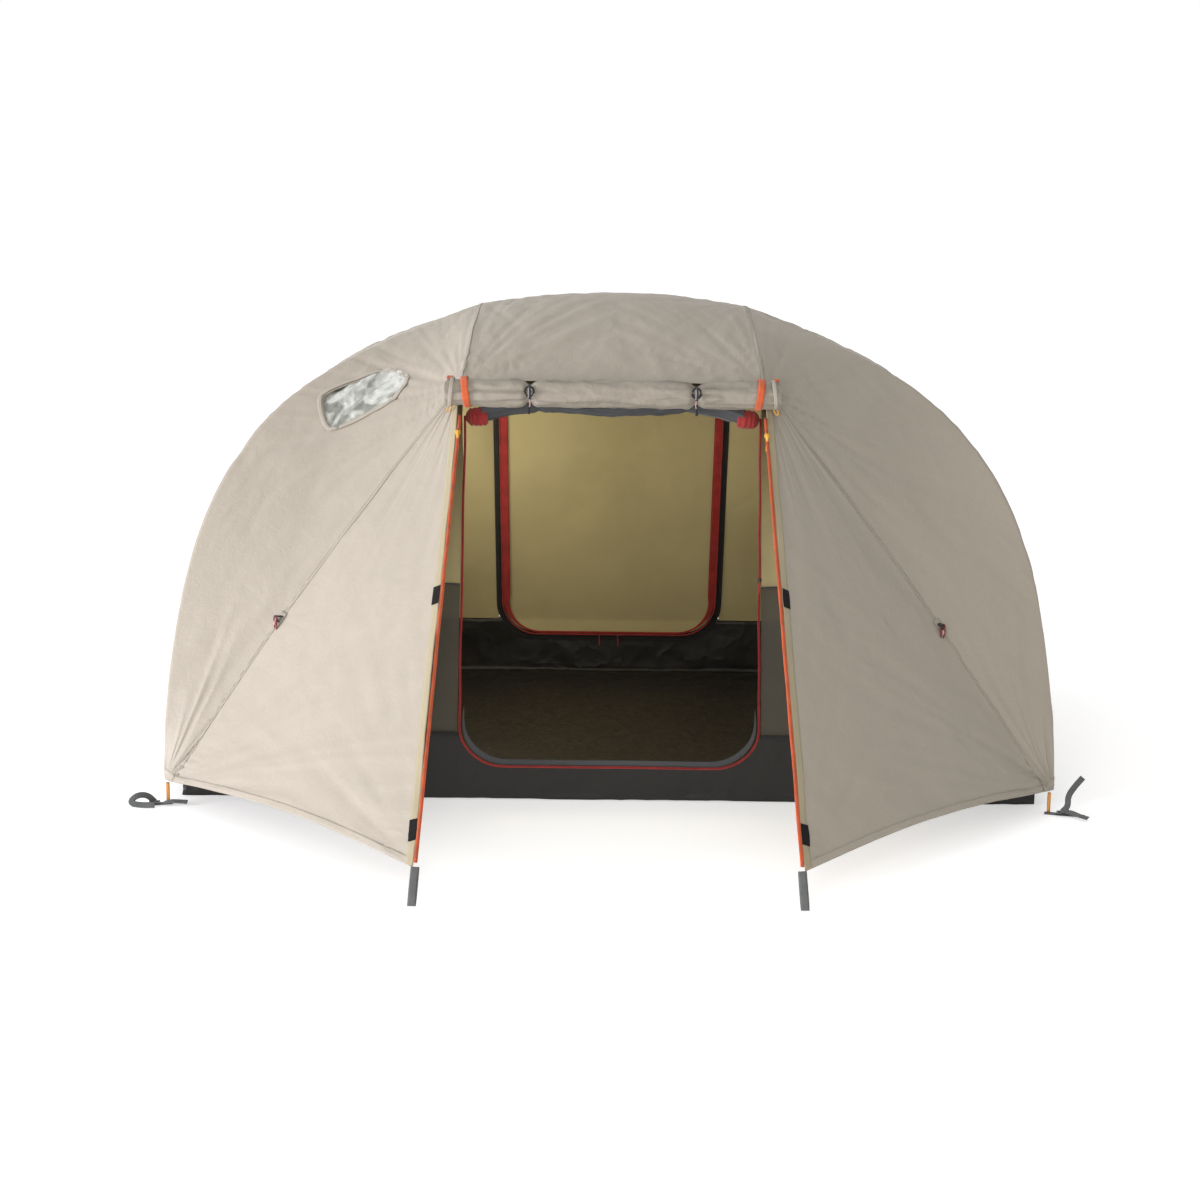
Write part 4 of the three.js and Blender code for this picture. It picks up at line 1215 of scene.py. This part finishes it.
def tie(sname, side):
    """The elastic loop and barrel toggle that hold the roll."""
    x = TOGGLE_X * side
    turn = circle(40)
    size = ROLL_RADIUS * 0.60
    ring = np.stack([
        x + 0.003 * np.sin(2 * turn),
        ROLL_AT[1] + size * np.cos(turn),
        ROLL_AT[2] + size * 0.98 * np.sin(turn),
    ], -1)
    cable(f"tie_loop_{sname}", ring, 0.0016, "cord", loop=True, slot="buckle_plastic")
    front = np.array([x, ROLL_AT[1] - size - 0.004, ROLL_AT[2] + 0.006])
    turn = circle(28)
    lock = np.stack([
        front[0] + 0.011 * np.cos(turn),
        front[1] - 0.004 - 0.002 * np.sin(turn),
        front[2] + 0.013 * np.sin(turn),
    ], -1)
    cable(f"tie_ring_{sname}", lock, 0.0026, "cord", loop=True, slot="buckle_plastic")
    hang = bent([
        front + mm(0, -4, 10), front + mm(4 * side, -10, 2), front + mm(2 * side, -12, -14),
        front + mm(-3 * side, -11, -30), front + mm(1 * side, -9, -44),
    ], 3)
    barrel = bent([hang[-1] + mm(0, 0, z) for z in (6, 0, -9, -13)], 2)
    radius = np.interp(np.linspace(0, 1, len(barrel)), [0, 0.15, 0.8, 1], mm(1.8, 3.4, 3.4, 2))
    stop = cable(f"tie_end_{sname}", barrel, radius, "cord", slot="buckle_plastic")
    cord(f"tie_tail_{sname}", hang, 0.0013, "pink", "fitting", [stop], slot="buckle_plastic")


# ------------------------------------------------------------------ inner tent


def inner_leg(t):
    corner = np.array([TUB[0] / 2 - 0.002, TUB[1] / 2 - 0.002, TUB[2] + 0.002])
    return arch(INNER_HUB, corner, t)


def door_wall(half):
    def at(u, v):
        u, v = to_grid(u, v)
        top = np.array([half + 0.005, INNER_BROW[1], INNER_BROW[2]])
        base = np.array([half + 0.005, TUB[1] / 2 - 0.002, TUB[2] + 0.002])
        jamb = mix(top, base, v)
        return jamb + (inner_leg(v) - jamb) * u[..., None]
    return at


def door_plane(z):
    share = np.clip((INNER_BROW[2] - z) / (INNER_BROW[2] - TUB[2]), 0, 1)
    return INNER_BROW[1] + (TUB[1] / 2 - INNER_BROW[1]) * share


def inner_relief(points):
    warp = points + 0.04 * np.stack([noise(points * 3, k) for k in (51, 52, 53)], -1)
    height = 0.004 * noise(points * 2.4, 54) + 0.0032 * creases(warp * np.array([5, 5, 3]), 55)
    height += 0.0013 * creases(warp * 15.0, 56)
    return height


def cloth_piece(name, grid, material, slot, replaces=()):
    """A hung panel of the inner tent."""
    mesh = mesh_of(name, [grid], outward=(0, 0, 0.4))
    displace(mesh, inner_relief, -0.008, 0.008)
    piece = link(name, mesh, material, slot=slot, replaces=replaces)


WALL_SPLIT = 0.54


def split_at(wall, u, height):
    """Where down each column of a wall it is at a height."""
    low, high = np.zeros_like(u), np.ones_like(u)
    for _ in range(30):
        middle = (low + high) / 2
        above = wall(u, middle)[..., 2] > height
        low, high = np.where(above, middle, low), np.where(above, high, middle)
    return low


def inner_tent():
    u = spaced(0, 1, 60)
    down = spaced(0, 1, 90)
    front, rear = door_wall(FRONT_HALF), door_wall(REAR_HALF)
    for sname, side in SIDES:
        cut = split_at(front, u, WALL_SPLIT)
        upper = front(u[None], cut[None] * down[:, None])
        lower = front(u[None], cut[None] + (1 - cut[None]) * down[:, None])
        cloth_piece(f"front_wall_cloth_{sname}", flip(upper, side, -1), "inner",
                    "inner_fabric")
        cloth_piece(f"front_wall_mesh_{sname}", flip(lower, side, -1), "mesh", "mesh",
                    (f"front_wall_{sname}",))
        line = flip(front(u, cut), side, -1)
        facing = all_along(line, unit((0.1 * side, -0.9, 0.3)))
        ribbon(f"front_wall_seam_{sname}", line, facing, 0.005, "slate", 0.002, slot="webbing")
        cloth_piece(f"rear_wall_cloth_{sname}", flip(rear(u[None], down[:, None]), side, 1), "inner",
                    "inner_fabric", (f"rear_wall_{sname}",))
        leg = inner_leg(down)[:, None]
        across = 1 - 2 * spaced(0, 1, 80)[None, :, None]
        end = leg * np.concatenate([np.ones_like(across), across, np.ones_like(across)], -1)
        cloth_piece(f"end_wall_cloth_{sname}", flip(end, side, 1), "inner",
                    "inner_fabric", (f"inner_{sname}_end",))
    along = spaced(-1, 1, 80)[:, None]
    across = spaced(-1, 1, 60)[None]
    half = INNER_HUB[0] + (INNER_BROW[0] - INNER_HUB[0]) * along**2
    z = INNER_HUB[2] - (INNER_HUB[2] - INNER_BROW[2]) * np.abs(along) ** 1.9
    crown = 0.006 + 0.022 * np.cos(np.pi / 2 * along) ** 2
    roof = np.stack(np.broadcast_arrays(
        half * across, INNER_BROW[1] * along, z + crown * (1 - across**2),
    ), -1)
    cloth_piece("inner_roof_cloth", roof, "inner", "inner_fabric", ("inner_roof",))


def sill_top(x, half, sill):
    """Top edge of the tub's long wall: its full height, but lower at the doorway."""
    near = half - DOOR_CORNER
    bend = np.sqrt(np.maximum(DOOR_CORNER**2 - np.clip(np.abs(x) - near, 0, DOOR_CORNER) ** 2, 0))
    inside_door = sill + DOOR_CORNER - bend
    return np.where(np.abs(x) >= half, TUB[2], np.minimum(inside_door, TUB[2]))


CLOTH_INSET, FLOOR_TOP, LOWEST_CLOTH = 0.0015, 0.0035, 0.0012


def tub():
    """The waterproof floor with its turned-up walls, lower at both doorways."""
    hx, hy = TUB[0] / 2 - CLOTH_INSET, TUB[1] / 2 - CLOTH_INSET
    x = spaced(-hx, hx, 200)
    y = spaced(-hy, hy, 120)
    xx, yy = np.meshgrid(x, y)
    floor = np.stack([xx, yy, np.full_like(xx, FLOOR_TOP)], -1)
    rise = spaced(0, 1, 14)[:, None]
    grids = [floor]
    for half, sill, sy in ((FRONT_HALF, FRONT_SILL, -1), (REAR_HALF, REAR_SILL, 1)):
        top = sill_top(x, half, sill)
        z = FLOOR_TOP + (top[None] - FLOOR_TOP) * rise
        grids.append(np.stack(np.broadcast_arrays(x[None], np.full_like(z, hy * sy), z), -1))
    for sx in (-1, 1):
        z = FLOOR_TOP + (TUB[2] - FLOOR_TOP) * rise
        grids.append(np.stack(np.broadcast_arrays(np.full_like(z, hx * sx), y[None], z), -1))
    mesh = mesh_of("tub_cloth", grids, outward=(0, 0, -3))

    def relief(place):
        flat = 0.0020 + 0.0036 * creases(place * np.array([2.0, 7.0, 5.0]), 81)
        flat += 0.0016 * creases(place * 14.0, 82)
        wall = -0.003 * noise(place * 5.0, 83) - 0.0012 * creases(place * 12, 84)
        return np.where(place[:, 2] > 0.010, wall, -np.maximum(flat, 0))

    displace(mesh, relief, -0.006, 0.003)
    points = coordinates(mesh)
    points[:, 2] = np.maximum(points[:, 2], LOWEST_CLOTH)
    mesh.vertices.foreach_set("co", points.reshape(-1))
    piece = link("tub_cloth", mesh, "tub", slot="tub_fabric", replaces=("tub_floor",),
                 thick=0.0006)
    for ename, half, end in (("front", FRONT_HALF, -1), ("rear", REAR_HALF, 1)):
        for sname, side in SIDES:
            run = spaced(half, hx, 60)
            path = np.stack([run * side, np.full_like(run, hy * end), np.full_like(run, TUB[2])], -1)
            ribbon(f"tub_binding_{ename}_{sname}", path, all_along(path, (0, end, 0)), 0.012,
                                  "black", 0.002, slot="tub_fabric")


def u_path(half, sill, side_y, gap, wave=0.0, seed=0):
    """The U-shaped line of a door zip, from its top left round to its top right."""
    corner = DOOR_CORNER
    turn = spaced(0, np.pi / 2, 16)
    straight = spaced(INNER_BROW[2] - 0.03, sill + corner, 60)
    left = np.stack([np.full(61, -half), straight], -1)
    bend = np.stack([-half + corner * (1 - np.cos(turn)), sill + corner * (1 - np.sin(turn))], -1)
    base = np.stack([spaced(-half + corner, half - corner, 60), np.full(61, sill)], -1)
    path = np.concatenate([left, bend[1:], base[1:], (bend * [-1, 1])[::-1][1:], (left * [-1, 1])[::-1][1:]])
    path = resample(path, 0.012)
    y = np.minimum(door_plane(path[:, 1]) + gap, TUB[1] / 2 + gap)
    line = np.stack([path[:, 0], y * side_y, path[:, 1]], -1)
    walked = np.arange(len(line)) * 0.012
    sway = wave * noise(np.stack([walked * 6, walked * 0, walked * 0 + seed], -1), 91)
    line[:, 0] += sway
    line[:, 2] += 0.4 * sway
    return line


def door_facing(path, side_y):
    """Outward normals of a door's plane along a path."""
    lean = (TUB[1] / 2 - INNER_BROW[1]) / (INNER_BROW[2] - TUB[2])
    slope = np.where(path[:, 2] > TUB[2], lean, 0.0)
    return unit(smoothed(np.stack([np.zeros_like(slope), np.full_like(slope, float(side_y)), slope], -1), 4))


INWARD = (0, -1, 0)


def inner_doors():
    """The front inner zip and its facing, and the closed rear inner door."""
    path = u_path(FRONT_HALF, FRONT_SILL, -1, 0.004, wave=0.0035, seed=2)
    facing = door_facing(path, -1)
    zip_parts("front_inner_zip", path, facing, 0.0062, "red", coil=0.0016, slot="red_trim",
              replaces=("front_inner_zip",))
    inset = u_path(FRONT_HALF - 0.010, FRONT_SILL + 0.010, -1, 0.001, wave=0.0035, seed=2)
    inset = inset[inset[:, 2] < FRONT_SILL + 0.16]
    taper = np.clip((FRONT_SILL + 0.16 - inset[:, 2]) / 0.12, 0.05, 1)
    ribbon("front_inner_facing", inset, door_facing(inset, -1), 0.016 * taper, "slate", 0.0,
           slot="webbing")
    at = np.array([FRONT_HALF, -float(door_plane(0.56)) - 0.007, 0.56])
    slider("front_inner_slider", at, (0, -0.3, -1), (0, -1, 0.3), "red", "front_inner_slider",
           ("front_inner_slider",))

    half, sill = REAR_HALF - 0.006, REAR_SILL + 0.006
    v = spaced(0, 1, 110)[:, None]
    u = spaced(-1, 1, 90)[None]
    z = (INNER_BROW[2] - 0.012) + (sill - INNER_BROW[2] + 0.012) * v
    below = np.maximum(sill + DOOR_CORNER - z, 0)
    half_width = half - (DOOR_CORNER - np.sqrt(np.maximum(DOOR_CORNER**2 - below**2, 0)))
    grid = np.stack(np.broadcast_arrays(u * half_width, door_plane(z) - 0.003, z), -1)
    mesh = mesh_of("rear_inner_door_cloth", [grid], outward=(0, 3, 0.4))

    def relief(points):
        return np.minimum(inner_relief(points), 0.001)

    displace(mesh, relief, -0.010, 0.002)
    door = link("rear_inner_door_cloth", mesh, "inner", body="rear_inner_door",
                slot="inner_fabric", replaces=("rear_inner_door",))
    band = u_path(REAR_HALF - 0.020, REAR_SILL + 0.014, 1, -0.013)
    width = 0.006 + 0.020 * np.clip((band[:, 2] - REAR_SILL - 0.03) / 0.12, 0, 1)
    ribbon("rear_door_band", band, all_along(band, INWARD), width, "red",
                         body="rear_inner_door", slot="red_trim")
    # The rear inner zip is a real zip; its tape and coil are painted black as the shadow along the outside of
    # the door's red band.
    outer = u_path(REAR_HALF - 0.001, REAR_SILL + 0.001, 1, -0.007)
    zip_parts("rear_inner_zip", outer, all_along(outer, INWARD), 0.026, "black", slot="red_trim",
              replaces=("rear_inner_zip",))
    thin = u_path(REAR_HALF - 0.008, REAR_SILL + 0.007, 1, -0.014)
    cable("rear_inner_piping", thin, 0.0022, "red", body="rear_inner_door", slot="red_trim")
    for sname, x in (("left", -0.030), ("right", 0.030)):
        at = np.array([x, TUB[1] / 2 - 0.012, REAR_SILL + 0.004])
        slider(f"rear_inner_slider_{sname}_pull", at, (1, 0, 0), (0, -1, 0.1), "red",
               f"rear_inner_slider_{sname}", (f"rear_inner_slider_{sname}",))


# ------------------------------------------------------------------ straps and small fittings


UP = np.array([0, 0, 1.0])
WEB_WIDTH, WEB_THICKNESS = 0.019, 0.0014
STRAP_HEADING = 16
# Places along the webbing: out from the pole's foot, height, and sideways.
STRAP_RUN = ((-0.010, 0.0012), (0.02, 0.0012), (0.05, 0.0016), (0.075, 0.0022), (0.091, 0.0016))
STRAP_RISE = {
    "left": (
        (0.034, 0.008), (0.052, 0.030, 0.010), (0.078, 0.034, 0.018),
        (0.098, 0.016, 0.020), (0.074, 0.0105, 0.030), (0.036, 0.0095, 0.034),
    ),
    "right": (
        (0.034, 0.008), (0.048, 0.024), (0.046, 0.052, 0.004), (0.062, 0.080, 0.004), (0.080, 0.104, 0.002),
    ),
}
STRAP_TAIL = {
    "left": (
        (0.012, 0.0045, 0.008), (-0.004, 0.011, 0.016), (-0.024, 0.010, 0.020), (-0.046, 0.0085, 0.026),
    ),
    "right": (
        (0.036, 0.010, 0.002), (0.056, 0.013, 0.010), (0.070, 0.010, 0.016),
        (0.084, 0.0085, 0.026), (0.100, 0.0080, 0.034),
    ),
}


def ground_fittings():
    """Corner straps, their loose webbing, peg loops and guy loops, and the paint of the frame."""
    heading = math.radians(STRAP_HEADING)
    out = np.array([math.cos(heading), math.sin(heading), 0])
    for ename, end in ENDS:
        for sname, side in SIDES:
            tag = f"{ename}_{sname}"

            def at(forward, height, sideways=0.0, side=side, end=end):
                across = np.array([-out[1], out[0], 0])
                point = FOOT + out * forward + across * sideways + np.array([0, 0, height])
                return flip(point, side, end)

            run = bent([at(*place) for place in STRAP_RUN], 3)
            slot_strap(f"corner_strap_{tag}_web", run, (f"{ename}_corner_strap_{sname}",))
            outward = flip(out, side, end)
            sheer = unit(np.array([-outward[0] * 0.2, end * 1.0, 0.25]))
            lay = unit(UP + flip(np.array([0.1, -0.9, 0]), 1, end) * -0.5)
            for part, places, way, width in (
                ("rise", STRAP_RISE[sname], sheer, 0.015), ("tail", STRAP_TAIL[sname], lay, 0.014),
            ):
                path = bent([at(*place) for place in places], 3)
                ribbon(f"strap_{part}_{tag}", path, all_along(path, way), width, "grey",
                       thick=WEB_THICKNESS, slot="webbing")
            peg_loop(ename, sname, side, end)
            guy(ename, sname, side, end)
    for name, node in NODES.items():
        if "leg" in name or "pole" in name:
            paint(node, "pole")
        elif "hub" in name:
            paint(node, "hub")
        elif "buckle" in name or "toggle" in name:
            paint(node, "buckle")


def slot_strap(name, path, replaces):
    """Webbing that lies flat, with a slot for the peg."""
    grid = ribbon_points(path, all_along(path, UP), WEB_WIDTH, 0.0, 8)
    rows = len(path) - 1
    keep = np.ones((rows, 8), bool)
    length = np.concatenate([[0], np.linalg.norm(np.diff(path, axis=0), axis=1).cumsum()])
    middle = (length[1:] + length[:-1]) / 2
    hole = (middle > 0.072) & (middle < 0.092)
    keep[np.ix_(hole, [3, 4])] = False
    mesh = mesh_of(name, [grid], keep=[keep])
    link(name, mesh, "grey", thick=0.0018, offset=0.0, slot="webbing", replaces=replaces)


def peg_loop(ename, sname, side, end):
    """The ribbon loop that a peg goes through."""
    top = flip(PEG_CORNER + mm(-4, -2, 1), side, end)
    low = flip(PEG_GROUND + mm(-4, -2, 8), side, end)
    way = unit(low - top)
    wide = np.array([1.0, 0, 0])
    out = unit(np.cross(wide, way)) * 0.006
    run = bent([
        top + out * 0.35, top + way * 0.03 + out * 0.8, low - way * 0.02 + out, low,
        low - way * 0.02 - out, top + way * 0.03 - out * 0.8, top - out * 0.35,
    ], 3)
    facing = unit(np.cross(along_path(run), wide[None]))
    ribbon(f"{ename}_peg_web_{sname}", run, facing, WEB_WIDTH, "grey", thick=WEB_THICKNESS, slot="webbing",
           replaces=(f"{ename}_peg_loop_{sname}",))


def guy(ename, sname, side, end):
    """A sewn tab with a loop of cord at the middle of a seam."""
    base = seam_line(np.array(GUY_AT))
    held, facing = nearest(FLY_SKIN, flip(base, side, end)[None])
    at, out = held[0], unit(facing[0])
    way = unit(flip(seam_line(np.array(GUY_AT + 0.02)) - seam_line(np.array(GUY_AT - 0.02)), side, end))
    across = unit(np.cross(way, out))
    patch = np.array([at - way * 0.022, at - way * 0.008, at + way * 0.008, at + way * 0.022])
    strip(f"{ename}_guy_patch_{sname}", patch, 0.020, "thread", 0.0022)
    tab = bent([
        at + out * 0.002 - way * 0.010, at + out * 0.010 - way * 0.004, at + out * 0.020,
        at + out * 0.012 + way * 0.004, at + out * 0.002 + way * 0.010,
    ], 3)
    replaced = (f"guy_loop_{sname}",) if ename == "front" else ()
    facing = unit(np.cross(along_path(tab), across[None]))
    ribbon(f"{ename}_guy_tab_{sname}", tab, facing, 0.011, "black", thick=WEB_THICKNESS, slot="webbing",
           replaces=replaced)
    down = -UP
    start = at + out * 0.018
    loop = bent([
        start + across * 0.006,
        start + out * 0.004 + down * 0.010 + across * 0.008,
        start + out * 0.003 + down * 0.030 + across * 0.006,
        start + out * 0.002 + down * 0.040,
        start + out * 0.003 + down * 0.030 - across * 0.007,
        start + out * 0.005 + down * 0.010 - across * 0.007,
        start - across * 0.006,
    ], 3)
    bead = np.linspace(start + down * 0.014 + out * 0.006, start + down * 0.026 + out * 0.006, 7)
    stop = cable(f"{ename}_guy_bead_{sname}", bead, mm(1.6, 2.8, 3.1, 3.1, 3.1, 2.8, 1.6), "pink",
                 slot="red_trim")
    cord(f"{ename}_guy_cord_{sname}", loop, 0.0017, "maroon", "object", [stop], slot="red_trim")


def paint(node, material):
    node.data.materials.clear()
    node.data.materials.append(MATERIALS[material])


make_camera()
make_stage()
fly, FLY_SKIN = canopy()
seams = fly_seams()
seams += stitches()
rims = window()
tabs = fly_doors()
rear_door()
door_rolls()
inner_tent()
tub()
inner_doors()
ground_fittings()
